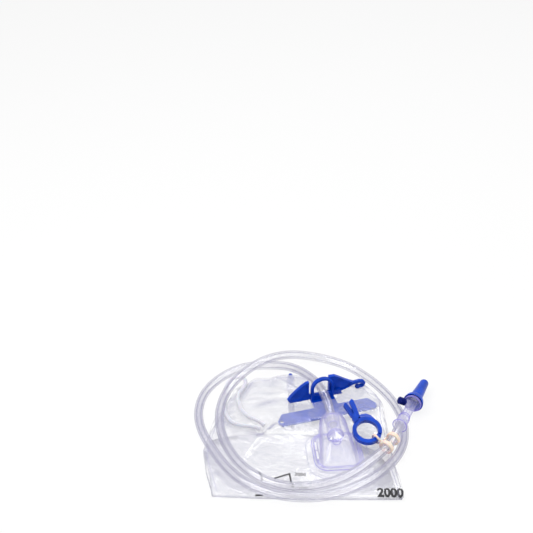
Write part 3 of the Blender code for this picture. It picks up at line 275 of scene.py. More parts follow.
def rounded_rectangle(width: float, length: float, corner: float, steps: int = 8) -> list[Pair]:
    """Points of a rectangle with round corners about the origin, anticlockwise.

    Args:
        width: Its size along X.
        length: Its size along Y.
        corner: Its corners' radius.
        steps: Steps in each corner.

    Returns:
        The points.
    """
    points = []
    for quarter, (sx, sy) in enumerate([(1, 1), (-1, 1), (-1, -1), (1, -1)]):
        for step in range(steps + 1):
            turn = math.pi / 2 * (quarter + step / steps)
            points.append((sx * (width / 2 - corner) + corner * math.cos(turn),
                           sy * (length / 2 - corner) + corner * math.sin(turn)))
    return points


def ease(value: float) -> float:
    """0 below 0, 1 above 1 and a smooth rise between."""
    value = min(max(value, 0.0), 1.0)
    return value * value * (3 - 2 * value)


# Meshes
def ring_section(radius: float, sides: int) -> list[Pair]:
    """Points of a circle round the origin."""
    return [(radius * math.cos(2 * math.pi * i / sides), radius * math.sin(2 * math.pi * i / sides))
            for i in range(sides)]


def mesh_piece(name: str, vertices: Sequence[Sequence[float]], faces: Sequence[Sequence[int]],
               sharp: float = JOINED_SHARP_ANGLE) -> bpy.types.Object:
    """An object from points and faces, its faces turned outward and shaded smooth.

    Args:
        name: The piece's name.
        vertices: Points in metres.
        faces: Corner numbers of each face.
        sharp: Edges that turn by more than this stay sharp.

    Returns:
        The new object, linked to the scene.
    """
    shape = bmesh.new()
    corners = [shape.verts.new(v) for v in vertices]
    for face in faces:
        shape.faces.new([corners[i] for i in face])
    bmesh.ops.recalc_face_normals(shape, faces=shape.faces)
    mesh = bpy.data.meshes.new(name)
    shape.to_mesh(mesh)
    shape.free()
    mesh.shade_smooth()
    mesh.set_sharp_from_angle(angle=sharp)
    piece = bpy.data.objects.new(name, mesh)
    bpy.context.scene.collection.objects.link(piece)
    return piece


def tube_piece(name: str, path: Sequence[Vector], radius: Callable[[float], float] | float, sides: int = 24,
               capped: bool = True, closed: bool = False) -> bpy.types.Object:
    """A tube along a path.

    Args:
        name: The piece's name.
        path: Points of its centre line.
        radius: Its radius, or a function of the share of the path that gives it.
        sides: Corners of its section.
        capped: Whether its ends are closed.
        closed: Whether the path runs back to its start.

    Returns:
        The tube.
    """
    count = len(path)
    rings, normal = [], None
    for i, point in enumerate(path):
        ahead = path[(i + 1) % count] if closed or i < count - 1 else point
        behind = path[i - 1] if closed or i > 0 else point
        along = (ahead - behind).normalized()
        if normal is None:
            normal = along.orthogonal().normalized()
        normal = (normal - along * normal.dot(along)).normalized()
        side = along.cross(normal)
        size = radius(i / (count - 1)) if callable(radius) else radius
        rings.append([point + normal * a + side * b for a, b in ring_section(size, sides)])
    vertices = [p for ring in rings for p in ring]
    faces = []
    for level in range(count if closed else count - 1):
        a, b = level * sides, ((level + 1) % count) * sides
        faces += [(a + i, a + (i + 1) % sides, b + (i + 1) % sides, b + i) for i in range(sides)]
    if capped and not closed:
        faces += [tuple(range(sides))[::-1], tuple(range((count - 1) * sides, count * sides))]
    return mesh_piece(name, vertices, faces)


def turned_piece(name: str, profile: Sequence[Pair], sides: int, place: Matrix) -> bpy.types.Object:
    """A closed profile of (radius, height) pairs turned about the place's +Z.

    Args:
        name: The piece's name.
        profile: The profile's corners in metres.
        sides: Steps round the axis.
        place: Where its axis stands.

    Returns:
        The turned piece.
    """
    vertices, index = [], []
    for radius, height in profile:
        start = len(vertices)
        if radius < ON_AXIS:
            index.append([start] * sides)
            vertices.append(place @ Vector((0, 0, height)))
        else:
            index.append([start + i for i in range(sides)])
            vertices += [place @ Vector((x, y, height)) for x, y in ring_section(radius, sides)]
    faces = []
    for k in range(len(profile)):
        first, second = index[k], index[(k + 1) % len(profile)]
        for i in range(sides):
            j = (i + 1) % sides
            face = list(dict.fromkeys((first[i], first[j], second[j], second[i])))
            if len(face) > 2:
                faces.append(face)
    return mesh_piece(name, vertices, faces)


def rounded_profile(profile: Sequence[Pair], radius: float, steps: int = 3) -> list[Pair]:
    """A closed profile with its corners rounded, except those on the axis.

    Args:
        profile: The corners, in metres.
        radius: The wanted corner radius, made smaller where an edge is short.
        steps: Points in each rounded corner, less one.

    Returns:
        The rounded profile.
    """
    result: list[Pair] = []
    count = len(profile)
    for i, corner in enumerate(profile):
        here, before, after = Vector(corner), Vector(profile[i - 1]), Vector(profile[(i + 1) % count])
        shorter = min((before - here).length, (after - here).length)
        reach = min(radius, shorter * LONGEST_ROUNDING)
        if corner[0] < ON_AXIS or reach < SHORTEST_ROUNDING:
            result.append(corner)
            continue
        start = here + (before - here).normalized() * reach
        end = here + (after - here).normalized() * reach
        for step in range(steps + 1):
            share = step / steps
            point = start.lerp(here, share).lerp(here.lerp(end, share), share)
            result.append((point.x, point.y))
    return result


def edge_rings(name: str, edges: Sequence[Pair], bead: float, place: Matrix) -> bpy.types.Object:
    """Thin round beads on a turned moulding's edges, as one object.

    Args:
        name: The piece's name.
        edges: Radius and height of each edge.
        bead: The beads' own radius.
        place: The moulding's axis.

    Returns:
        The beads.
    """
    rings = []
    for radius, height in edges:
        line = [place @ Vector((x, y, height)) for x, y in ring_section(radius, ROUND_STEPS)]
        rings.append(tube_piece("bead", line, bead, BEAD_SIDES, False, True))
    return joined(name, rings)


def joined(name: str, pieces: Sequence[bpy.types.Object]) -> bpy.types.Object:
    """Several pieces of one moulding as one object.

    Args:
        name: The joined piece's name.
        pieces: The pieces, which are used up.

    Returns:
        The joined piece.
    """
    shape = bmesh.new()
    for piece in pieces:
        shape.from_mesh(piece.data)
    mesh = bpy.data.meshes.new(name)
    shape.to_mesh(mesh)
    shape.free()
    mesh.shade_smooth()
    mesh.set_sharp_from_angle(angle=JOINED_SHARP_ANGLE)
    for piece in pieces:
        bpy.data.objects.remove(piece, do_unlink=True)
    whole = bpy.data.objects.new(name, mesh)
    bpy.context.scene.collection.objects.link(whole)
    return whole


def dressed_copy(name: str, node: bpy.types.Object, quads: bool = False) -> bpy.types.Object:
    """A new piece with a node's form, its corners welded and flat faces joined.

    Args:
        name: The new piece's name.
        node: The frame's node.
        quads: Whether triangles are paired into quads for subdivision, not dissolved.

    Returns:
        The new piece.
    """
    shape = bmesh.new()
    shape.from_mesh(node.data)
    bmesh.ops.remove_doubles(shape, verts=shape.verts, dist=0.004 * MM)
    if quads:
        bmesh.ops.join_triangles(
            shape, faces=shape.faces, cmp_seam=False, cmp_sharp=False, cmp_uvs=False, cmp_vcols=False,
            cmp_materials=False, angle_face_threshold=math.radians(60),
            angle_shape_threshold=math.radians(120))
    else:
        bmesh.ops.dissolve_limit(shape, angle_limit=math.radians(0.6), verts=shape.verts, edges=shape.edges)
    mesh = bpy.data.meshes.new(name)
    shape.to_mesh(mesh)
    shape.free()
    mesh.shade_smooth()
    mesh.set_sharp_from_angle(angle=SHARP_ANGLE)
    piece = bpy.data.objects.new(name, mesh)
    bpy.context.scene.collection.objects.link(piece)
    return piece


def round_edges(piece: bpy.types.Object, width: float, segments: int = 2) -> None:
    """Soften a moulding's edges.

    Args:
        piece: The moulding.
        width: How far the edges are cut back.
        segments: Steps across each edge.
    """
    bevel = piece.modifiers.new("soft_edges", "BEVEL")
    bevel.width = width
    bevel.segments = segments
    bevel.limit_method = "ANGLE"
    bevel.angle_limit = SHARP_ANGLE
    bevel.use_clamp_overlap = True
    bevel.harden_normals = False


def subdivide(piece: bpy.types.Object, levels: int) -> None:
    """Smooth a piece by subdivision.

    Args:
        piece: The piece.
        levels: How often its faces are split.
    """
    step = piece.modifiers.new("smooth", "SUBSURF")
    step.levels = levels
    step.render_levels = levels


def applied(piece: bpy.types.Object) -> bpy.types.Object:
    """Bake a piece's modifiers into its mesh.

    Args:
        piece: The piece.

    Returns:
        The same piece, without modifiers.
    """
    graph = bpy.context.evaluated_depsgraph_get()
    mesh = bpy.data.meshes.new_from_object(piece.evaluated_get(graph))
    piece.modifiers.clear()
    piece.data = mesh
    return piece


# Materials
def build_ripple_group() -> bpy.types.NodeTree:
    """Shared relief: a coarse and a fine noise as one height, and a mask of slight wear.

    Returns:
        The node group, with Scale, Fine Scale and Fine Share inputs and Height and Mask outputs.
    """
    group = bpy.data.node_groups.new(RIPPLE_GROUP, "ShaderNodeTree")
    face = group.interface
    for label, value in (("Scale", 60.0), ("Fine Scale", 600.0), ("Fine Share", 0.3)):
        socket = face.new_socket(name=label, in_out="INPUT", socket_type="NodeSocketFloat")
        socket.default_value = value
    face.new_socket(name="Height", in_out="OUTPUT", socket_type="NodeSocketFloat")
    face.new_socket(name="Mask", in_out="OUTPUT", socket_type="NodeSocketFloat")
    nodes, links = group.nodes, group.links
    given, result = nodes.new("NodeGroupInput"), nodes.new("NodeGroupOutput")
    place = nodes.new("ShaderNodeTexCoord")
    coarse, fine = nodes.new("ShaderNodeTexNoise"), nodes.new("ShaderNodeTexNoise")
    coarse.inputs["Detail"].default_value = 3.0
    fine.inputs["Detail"].default_value = 2.0
    mix = nodes.new("ShaderNodeMix")
    mix.data_type = "FLOAT"
    ramp = nodes.new("ShaderNodeMapRange")
    ramp.inputs["From Min"].default_value = MASK_SPAN[0]
    ramp.inputs["From Max"].default_value = MASK_SPAN[1]
    for noise_node, label in ((coarse, "Scale"), (fine, "Fine Scale")):
        links.new(place.outputs["Object"], noise_node.inputs["Vector"])
        links.new(given.outputs[label], noise_node.inputs["Scale"])
    links.new(given.outputs["Fine Share"], mix.inputs["Factor"])
    links.new(coarse.outputs["Fac"], mix.inputs["A"])
    links.new(fine.outputs["Fac"], mix.inputs["B"])
    links.new(mix.outputs["Result"], result.inputs["Height"])
    links.new(coarse.outputs["Fac"], ramp.inputs["Value"])
    links.new(ramp.outputs["Result"], result.inputs["Mask"])
    return group


def ripple_node(tree: bpy.types.NodeTree, scale: float, fine: float, share: float) -> bpy.types.Node:
    """The shared relief group placed in a material.

    Args:
        tree: The material's nodes.
        scale: Scale of the coarse relief.
        fine: Scale of the fine relief.
        share: How much of the height is fine.

    Returns:
        The group's node.
    """
    group = bpy.data.node_groups.get(RIPPLE_GROUP) or build_ripple_group()
    node = tree.nodes.new("ShaderNodeGroup")
    node.node_tree = group
    node.inputs["Scale"].default_value = scale
    node.inputs["Fine Scale"].default_value = fine
    node.inputs["Fine Share"].default_value = share
    return node


def float_range(tree: bpy.types.NodeTree, source: bpy.types.NodeSocket, span: Pair,
                source_span: Pair = (0.0, 1.0)) -> bpy.types.NodeSocket:
    """A number that follows a source from one value to another.

    Args:
        tree: The nodes.
        source: The source.
        span: The numbers that come out.
        source_span: The source's values at them.

    Returns:
        The number's socket.
    """
    node = tree.nodes.new("ShaderNodeMapRange")
    node.inputs["From Min"].default_value = source_span[0]
    node.inputs["From Max"].default_value = source_span[1]
    node.inputs["To Min"].default_value = span[0]
    node.inputs["To Max"].default_value = span[1]
    tree.links.new(source, node.inputs["Value"])
    return node.outputs["Result"]


def seen_ray(tree: bpy.types.NodeTree) -> bpy.types.NodeSocket:
    """1 for the rays of the camera, of reflections and of clear pieces, which all meet white.

    Args:
        tree: The nodes.

    Returns:
        The socket.
    """
    path = tree.nodes.new("ShaderNodeLightPath")
    seen = path.outputs["Is Camera Ray"]
    for ray in ("Is Glossy Ray", "Is Transmission Ray"):
        either = tree.nodes.new("ShaderNodeMath")
        either.operation = "MAXIMUM"
        tree.links.new(seen, either.inputs[0])
        tree.links.new(path.outputs[ray], either.inputs[1])
        seen = either.outputs[0]
    return seen


def colour_mix(tree: bpy.types.NodeTree, share: bpy.types.NodeSocket, first: Sequence[float],
               second: Sequence[float]) -> bpy.types.NodeSocket:
    """A colour that follows a share from the first to the second.

    Args:
        tree: The nodes.
        share: The share's socket.
        first: The colour at 0.
        second: The colour at 1.

    Returns:
        The colour's socket.
    """
    node = tree.nodes.new("ShaderNodeMix")
    node.data_type = "RGBA"
    node.inputs["A"].default_value = (*first, 1)
    node.inputs["B"].default_value = (*second, 1)
    tree.links.new(share, node.inputs["Factor"])
    return node.outputs["Result"]


@dataclass(frozen=True)
class SolidFinish:
    """A finish that light doesn't pass: moulded blue plastic, rubber, cord or ink.

    Attributes:
        name: The material's name.
        colour: Its colour.
        shade: The colour that it varies to.
        roughness: Values between which its roughness varies.
        relief: Depth of its surface relief.
        scale: Scale of the coarse relief.
        fine: Scale of the fine relief.
        coat: Weight of its clear gloss.
        subsurface: How much light spreads in it.
        specular: How much it reflects.
    """

    name: str
    colour: Colour
    shade: Colour
    roughness: Pair
    relief: float
    scale: float = 80.0
    fine: float = 900.0
    coat: float = 0.0
    subsurface: float = 0.0
    specular: float = 0.5

    def material(self) -> bpy.types.Material:
        """The finish as a material, made on first use.

        Returns:
            The material.
        """
        ready = bpy.data.materials.get(self.name)
        if ready:
            return ready
        material = bpy.data.materials.new(self.name)
        material.use_nodes = True
        tree = material.node_tree
        shader = tree.nodes["Principled BSDF"]
        ripple = ripple_node(tree, self.scale, self.fine, 0.5)
        mask = ripple.outputs["Mask"]
        tree.links.new(colour_mix(tree, mask, self.shade, self.colour), shader.inputs["Base Color"])
        tree.links.new(float_range(tree, mask, self.roughness), shader.inputs["Roughness"])
        bump = tree.nodes.new("ShaderNodeBump")
        bump.inputs["Distance"].default_value = self.relief
        bump.inputs["Strength"].default_value = 0.6
        tree.links.new(ripple.outputs["Height"], bump.inputs["Height"])
        tree.links.new(bump.outputs["Normal"], shader.inputs["Normal"])
        shader.inputs["Coat Weight"].default_value = self.coat
        shader.inputs["Coat Roughness"].default_value = 0.08
        shader.inputs["Specular IOR Level"].default_value = self.specular
        shader.inputs["Subsurface Weight"].default_value = self.subsurface
        shader.inputs["Subsurface Scale"].default_value = 1.5 * MM
        return material


@dataclass(frozen=True)
class ClearFinish:
    """A see-through finish: paler and thinner face on, tinted and denser where it turns away.

    Attributes:
        name: The material's name.
        face: Colour face on.
        edge: Colour at grazing angles.
        density: How much it covers, face on and at grazing angles.
        turn: Facing values between which it changes.
        roughness: Its mean roughness.
        relief: Depth of its surface relief.
        scale: Scale of the coarse relief.
        fine: Scale of the fine relief.
        painted_glow: Strength of a painted glow: emission in its own tint that keeps it bright without a lamp.
        shadow: How much of it a shadow ray meets.
        glint: How much it reflects, face on and at grazing angles.
    """

    name: str
    face: Colour
    edge: Colour
    density: Pair
    turn: Pair = (0.25, 0.9)
    roughness: float = 0.12
    relief: float = 0.05 * MM
    scale: float = 90.0
    fine: float = 500.0
    painted_glow: float = 0.25
    shadow: float = 0.12
    glint: Pair = (0.05, 0.24)

    def material(self) -> bpy.types.Material:
        """The finish as a material, made on first use.

        Returns:
            The material.
        """
        ready = bpy.data.materials.get(self.name)
        if ready:
            return ready
        material = bpy.data.materials.new(self.name)
        material.use_nodes = True
        tree = material.node_tree
        shader = tree.nodes["Principled BSDF"]
        ripple = ripple_node(tree, self.scale, self.fine, 0.3)
        bump = tree.nodes.new("ShaderNodeBump")
        bump.inputs["Distance"].default_value = self.relief
        bump.inputs["Strength"].default_value = 1.0
        tree.links.new(ripple.outputs["Height"], bump.inputs["Height"])
        tree.links.new(bump.outputs["Normal"], shader.inputs["Normal"])
        weight = tree.nodes.new("ShaderNodeLayerWeight")
        weight.inputs["Blend"].default_value = 0.5
        tree.links.new(bump.outputs["Normal"], weight.inputs["Normal"])
        turned = float_range(tree, weight.outputs["Facing"], (0.0, 1.0), self.turn)
        tint = colour_mix(tree, turned, self.face, self.edge)
        tree.links.new(tint, shader.inputs["Base Color"])
        # Painted glow: the tint also goes out as emission, so the clear piece stays bright though no lamp
        # lights it.
        tree.links.new(tint, shader.inputs["Emission Color"])
        shader.inputs["Emission Strength"].default_value = self.painted_glow
        path = tree.nodes.new("ShaderNodeLightPath")
        thin = float_range(tree, path.outputs["Is Shadow Ray"], (1.0, self.shadow))
        cover = tree.nodes.new("ShaderNodeMath")
        cover.operation = "MULTIPLY"
        tree.links.new(float_range(tree, turned, self.density), cover.inputs[0])
        tree.links.new(thin, cover.inputs[1])
        tree.links.new(cover.outputs[0], shader.inputs["Alpha"])
        rough = float_range(tree, ripple.outputs["Mask"], (self.roughness * 0.8, self.roughness * 1.3))
        tree.links.new(rough, shader.inputs["Roughness"])
        self.add_glints(tree, shader, bump, rough, thin)
        return material

    def add_glints(self, tree: bpy.types.NodeTree, shader: bpy.types.Node, bump: bpy.types.Node,
                   rough: bpy.types.NodeSocket, thin: bpy.types.NodeSocket) -> None:
        """Lay reflections over the see-through shader, which alpha alone would thin out.

        Args:
            tree: The material's nodes.
            shader: The see-through shader.
            bump: The relief.
            rough: The roughness.
            thin: What a shadow ray meets of the material.
        """
        gloss, mix = tree.nodes.new("ShaderNodeBsdfGlossy"), tree.nodes.new("ShaderNodeMixShader")
        fresnel = tree.nodes.new("ShaderNodeFresnel")
        fresnel.inputs["IOR"].default_value = PLASTIC_IOR
        tree.links.new(bump.outputs["Normal"], fresnel.inputs["Normal"])
        tree.links.new(bump.outputs["Normal"], gloss.inputs["Normal"])
        tree.links.new(rough, gloss.inputs["Roughness"])
        share = tree.nodes.new("ShaderNodeMath")
        share.operation = "MULTIPLY"
        reflected = float_range(tree, fresnel.outputs["Fac"], self.glint, FRESNEL_SPAN)
        tree.links.new(reflected, share.inputs[0])
        tree.links.new(thin, share.inputs[1])
        tree.links.new(share.outputs[0], mix.inputs["Fac"])
        tree.links.new(shader.outputs["BSDF"], mix.inputs[1])
        tree.links.new(gloss.outputs["BSDF"], mix.inputs[2])
        tree.links.new(mix.outputs["Shader"], tree.nodes["Material Output"].inputs["Surface"])


# The painted_glow of each clear finish is painted light: emission that brightens it.
FILM_FINISH = ClearFinish(
    "clear_vinyl_film", face=(0.74, 0.74, 0.78), edge=(0.38, 0.38, 0.50), density=(0.092, 0.60),
    turn=(0.27, 0.72), roughness=0.16, relief=1.2 * MM, scale=30.0, fine=140.0, painted_glow=0.08,
    glint=(0.010, 0.12))
# Painted shade: a dense dark tint for the beads on clear edges, which stand for the dark lines seen along those
# edges.
EDGE_SHADE_FINISH = ClearFinish(
    "painted_edge_shade", face=(0.26, 0.22, 0.74), edge=(0.11, 0.08, 0.54), density=(0.52, 0.92),
    turn=(0.20, 0.90), roughness=0.08, relief=0.03 * MM, scale=70.0, painted_glow=0.12)
SEAM_FINISH = ClearFinish(
    "film_weld", face=(0.60, 0.58, 0.78), edge=(0.40, 0.38, 0.64), density=(0.24, 0.60),
    turn=(0.2, 0.9), relief=0.05 * MM, scale=60.0, fine=300.0, painted_glow=0.10)
HOSE_FINISH = ClearFinish(
    "vinyl_hose_wall", face=(0.50, 0.49, 0.59), edge=(0.24, 0.23, 0.40), density=(0.10, 0.70),
    turn=(0.30, 0.98), roughness=0.08, relief=0.015 * MM, scale=60.0, fine=400.0, painted_glow=0.10)
BORE_FINISH = ClearFinish(
    "vinyl_bore_wall", face=(0.50, 0.49, 0.62), edge=(0.15, 0.14, 0.36), density=(0.07, 0.95),
    turn=(0.24, 0.90), roughness=0.08, relief=0.01 * MM, scale=60.0, fine=400.0, painted_glow=0.10)
MOULD_FINISH = ClearFinish(
    "clear_rigid_plastic", face=(0.72, 0.71, 0.88), edge=(0.17, 0.14, 0.52), density=(0.07, 0.88),
    turn=(0.38, 0.95), roughness=0.06, relief=0.02 * MM, scale=70.0, painted_glow=0.15, glint=(0.02, 0.13))
BLUE_FINISH = SolidFinish(
    "deep_blue_plastic", colour=(0.0, 0.062, 0.58), shade=(0.0, 0.044, 0.42), roughness=(0.30, 0.42),
    relief=0.02 * MM, scale=90.0, fine=1200.0, coat=0.3, specular=0.08)
SEPTUM_FINISH = SolidFinish(
    "navy_septum_rubber", colour=(0.0, 0.008, 0.17), shade=(0.0, 0.005, 0.11), roughness=(0.55, 0.7),
    relief=0.03 * MM, specular=0.15)
PEACH_FINISH = SolidFinish(
    "peach_latex", colour=(0.98, 0.80, 0.69), shade=(0.95, 0.73, 0.60), roughness=(0.45, 0.6),
    relief=0.05 * MM, scale=150.0, subsurface=0.3)
ROPE_FINISH = SolidFinish(
    "twisted_white_cord", colour=(0.84, 0.84, 0.88), shade=(0.72, 0.72, 0.80), roughness=(0.75, 0.9),
    relief=0.10 * MM, scale=700.0, fine=3500.0, subsurface=0.1)
MEMBRANE_FINISH = SolidFinish(
    "filter_sheet", colour=(0.86, 0.86, 0.88), shade=(0.76, 0.76, 0.80), roughness=(0.8, 0.9),
    relief=0.05 * MM)
INK_FINISH = SolidFinish(
    "black_print", colour=(0.006, 0.006, 0.009), shade=(0.010, 0.010, 0.014), roughness=(0.4, 0.5),
    relief=0.01 * MM)


def dress(piece: bpy.types.Object, finish: SolidFinish | ClearFinish) -> bpy.types.Object:
    """Give a piece one finish.

    Args:
        piece: The piece.
        finish: Its only finish.

    Returns:
        The same piece.
    """
    piece.data.materials.clear()
    piece.data.materials.append(finish.material())
    return piece


# Sub-assemblies
@dataclass
class Piece:
    """Shared work of every sub-assembly: it keeps the frame and hands pieces to it."""

    frame: dict

    def stand(self, piece: bpy.types.Object, finish: SolidFinish | ClearFinish, slot: Slot,
              body: Body = Body.BAG, nodes: Sequence[str] = ()) -> bpy.types.Object:
        """Dress a piece and let it ride on a body.

        Args:
            piece: The new piece.
            finish: Its finish.
            slot: The record's material slot; print has none; not used.
            body: The body it moves with.
            nodes: The nodes it stands for.

        Returns:
            The same piece.
        """
        dress(piece, finish)
        if nodes:
            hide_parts(*nodes)
        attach(piece, body.value)
        LOG.info("%s on %s", piece.name, body.value)
        return piece


@dataclass(frozen=True)
class Crease:
    """A ridge that folding left in the film, in millimetres."""

    start: Pair
    end: Pair
    width: float
    lift: float

    def height(self, x: float, y: float) -> float:
        """How far it lifts the film at a place, in millimetres.

        Args:
            x: Across, in millimetres.
            y: Away from the viewer, in millimetres.

        Returns:
            The lift.
        """
        run = (self.end[0] - self.start[0], self.end[1] - self.start[1])
        share = ((x - self.start[0]) * run[0] + (y - self.start[1]) * run[1]) / (run[0] ** 2 + run[1] ** 2)
        share = min(max(share, 0.0), 1.0)
        gap = math.hypot(x - self.start[0] - run[0] * share, y - self.start[1] - run[1] * share)
        return self.lift * ease(1 - gap / self.width) * (1 - 0.6 * share)


CREASES = [
    Crease((-37, 0), (-60, -41), 6.0, 2.2), Crease((-46, -8), (-22, -20), 5.0, 1.3),
    Crease((-37, 15), (-66, 36), 4.5, 1.2), Crease((-25, 4), (-8, -14), 5.0, 1.4),
    Crease((-25, 4), (-37, 0), 4.5, 1.6), Crease((-58, -20), (-84, -6), 6.0, 1.4),
    Crease((-70, -30), (-36, -44), 7.0, 1.0), Crease((-82, -52), (-97, -92), 5.0, 1.5),
    Crease((-98, -44), (-72, -34), 5.0, 1.2), Crease((10, 44), (-36, 74), 6.0, 1.6),
    Crease((-7, 56), (-50, 60), 5.0, 1.2), Crease((2, 62), (-26, 88), 4.0, 1.2),
    Crease((22, 68), (10, 90), 3.5, 1.3), Crease((33, 70), (36, 90), 3.5, 1.3),
    Crease((45, 74), (52, 89), 3.5, 1.3), Crease((55, 72), (68, 84), 4.0, 1.2),
    Crease((90, 34), (101, -8), 3.5, 1.5), Crease((84, 30), (94, -16), 3.5, 1.3),
    Crease((76, 24), (88, -6), 4.0, 1.1), Crease((70, -60), (78, -84), 5.0, 1.3),
    Crease((86, -50), (96, -80), 5.0, 1.2), Crease((74, -38), (90, -46), 4.5, 1.0),
    Crease((-20, -48), (2, -62), 6.0, 0.9), Crease((-52, -58), (-30, -52), 6.0, 0.8),
    Crease((-74, 30), (-58, 48), 5.0, 1.2), Crease((-58, 48), (-40, 52), 5.0, 1.0),
]


@dataclass
class BagFilms(Piece):
    """The bag's two films, with the creases and small waves that folded vinyl keeps.

    Attributes:
        wave: Size of the small waves.
        broad_scale: Waves to the metre across and along, for the broad ones.
        fine_scale: The same for the fine ones.
        fine_start: Where the fine ones' noise starts.
        wave_shares: How much of the size the broad and the fine ones have.
        flat: The unfolded film's width and length.
        seam_width: How far in from the edge the weld runs.
        seam_bead: Radius of the weld's raised line.
        weld_size: Width and length of the weld round the chamber.
        weld_corner: Its corners' radius.
        line_spacing: Distance between the points of the welds' lines.
        chamber_half: Half the width and length of the place that the chamber covers.
        chamber_middle: How far towards the mouth that place's middle lies.
        cord_half: How near to a cord's centre line the film lies still.
        free_rise: Over what distance it gets free to rise.
        lowest: Below this height the film is the lower half, and stays as it is.
        cords: Points of the hose and the rope that lie on it.
    """

    wave: float = 0.35 * MM
    broad_scale: Pair = (34, 46)
    fine_scale: Pair = (130, 80)
    fine_start: float = 3.1
    wave_shares: Pair = (0.5, 0.3)
    flat: Pair = (0.208, 0.292)
    seam_width: float = 5.5 * MM
    seam_bead: float = 0.36 * MM
    weld_size: Pair = (66 * MM, 67 * MM)
    weld_corner: float = 19 * MM
    line_spacing: float = 2.5 * MM
    chamber_half: Pair = (30 * MM, 40 * MM)
    chamber_middle: float = 6 * MM
    cord_half: float = 8 * MM
    free_rise: Pair = (6 * MM, 7 * MM)
    lowest: float = 3.2 * MM
    cords: list[Vector] = field(default_factory=list)

    def room(self, place: Vector) -> float:
        """How free the film is to rise at a place: 0 under the hose, the rope and the chamber.

        Args:
            place: A point of the film.

        Returns:
            A share from 0 to 1.
        """
        local = chamber_matrix().inverted() @ place
        (half_x, half_y), (chamber_rise, cord_rise) = self.chamber_half, self.free_rise
        free = ease(max(abs(local.x) - half_x, abs(local.y - self.chamber_middle) - half_y) / chamber_rise)
        for point in self.cords:
            gap = math.hypot(place.x - point.x, place.y - point.y) - self.cord_half
            if gap < cord_rise:
                free = min(free, ease(gap / cord_rise))
        return free

    def crinkle(self, piece: bpy.types.Object, seed: float, creases: Sequence[Crease]) -> None:
        """Lift the film along its creases and wave it by a few tenths of a millimetre.

        Args:
            piece: The film.
            seed: Where its noise starts.
            creases: The ridges.
        """
        for vertex in piece.data.vertices:
            place = vertex.co
            if place.z < self.lowest:
                continue
            (broad_x, broad_y), (fine_x, fine_y) = self.broad_scale, self.fine_scale
            broad = noise.noise(Vector((place.x * broad_x + seed, place.y * broad_y, 0)))
            fine = noise.noise(Vector((place.x * fine_x + seed, place.y * fine_y, self.fine_start)))
            lift = self.wave * (self.wave_shares[0] * broad + self.wave_shares[1] * fine)
            ridge = max((c.height(place.x / MM, place.y / MM) for c in creases), default=0.0) * MM
            if creases:
                lift += (ridge + self.wave * abs(broad)) * self.room(place)
            vertex.co.z += lift

    def bead(self, name: str, line: Sequence[Vector], closed: bool) -> bpy.types.Object:
        """A thin raised line in the film."""
        piece = tube_piece(name, line, self.seam_bead, BEAD_SIDES, not closed, closed)
        return self.stand(piece, SEAM_FINISH, Slot.FILM)

    def seam_line(self, surface: FilmSurface) -> list[Vector]:
        """The weld's inner line, on the film.

        Args:
            surface: The front film's surface.

        Returns:
            The line's points.
        """
        outline = [Vector((x, y, 0)) * MM for x, y in SEAM_OUTLINE]
        inner = []
        for i, corner in enumerate(outline):
            ahead, behind = outline[min(i + 1, len(outline) - 1)], outline[max(i - 1, 0)]
            along = (ahead - behind).normalized()
            inner.append(corner + Vector((along.y, -along.x, 0)) * self.seam_width)
        return [surface.drop(p.x, p.y, 0.0) for p in spline_through(inner, self.line_spacing)]

    def weld_line(self, surface: FilmSurface) -> list[Vector]:
        """The weld round the chamber, on the film.

        Args:
            surface: The front film's surface.

        Returns:
            The points of a closed line.
        """
        place = chamber_matrix() @ Matrix.Translation((0, -3.5 * MM, 0))
        corners = [place @ Vector((x, y, 0))
                   for x, y in rounded_rectangle(*self.weld_size, self.weld_corner, 6)]
        line = []
        for a, b in zip(corners, corners[1:] + corners[:1]):
            steps = max(1, round((b - a).length / self.line_spacing))
            line += [a.lerp(b, step / steps) for step in range(steps)]
        return [surface.drop(p.x, p.y, 0.0) for p in line]

    def build(self) -> FilmSurface:
        """Both films and the welds' lines.

        Returns:
            The front film's surface, for what is printed on it.
        """
        self.cords = hose_points(6 * MM) + spline_through([Vector(p) * MM for p in ROPE_ROUTE], 6 * MM)
        films = []
        for name, seed, levels, creases in (("front", 1.7, 2, CREASES), ("back", 8.3, 1, [])):
            film = dressed_copy("bag_film_" + name, self.frame["nodes"]["film_" + name], quads=True)
            subdivide(film, levels)
            applied(film)
            self.crinkle(film, seed, creases)
            film.data.shade_smooth()
            self.stand(film, FILM_FINISH, Slot.FILM, Body.BAG, ["film_" + name])
            films.append(film)
        surface = FilmSurface(films[0])
        beads = [self.bead("edge_weld_line", self.seam_line(surface), False),
                 self.bead("chamber_weld_line", self.weld_line(surface), True)]
        return surface


class FilmSurface:
    """The upper face of the front film, for what lies on it."""

    def __init__(self, film: bpy.types.Object) -> None:
        """Keep a search tree of the film's faces.

        Args:
            film: The front film.
        """
        shape = bmesh.new()
        shape.from_mesh(film.data)
        self.tree = BVHTree.FromBMesh(shape)
        shape.free()

    def drop(self, x: float, y: float, above: float) -> Vector:
        """The place on the film under a point.

        Args:
            x: Across.
            y: Away from the viewer.
            above: How far over the film the place is.

        Returns:
            The place, or one at the film's usual height where there is no film.
        """
        hit = self.tree.ray_cast(Vector((x, y, 0.1)), Vector((0, 0, -1)))[0]
        return Vector((x, y, (hit.z if hit else CHAMBER_PLACE.z) + above))


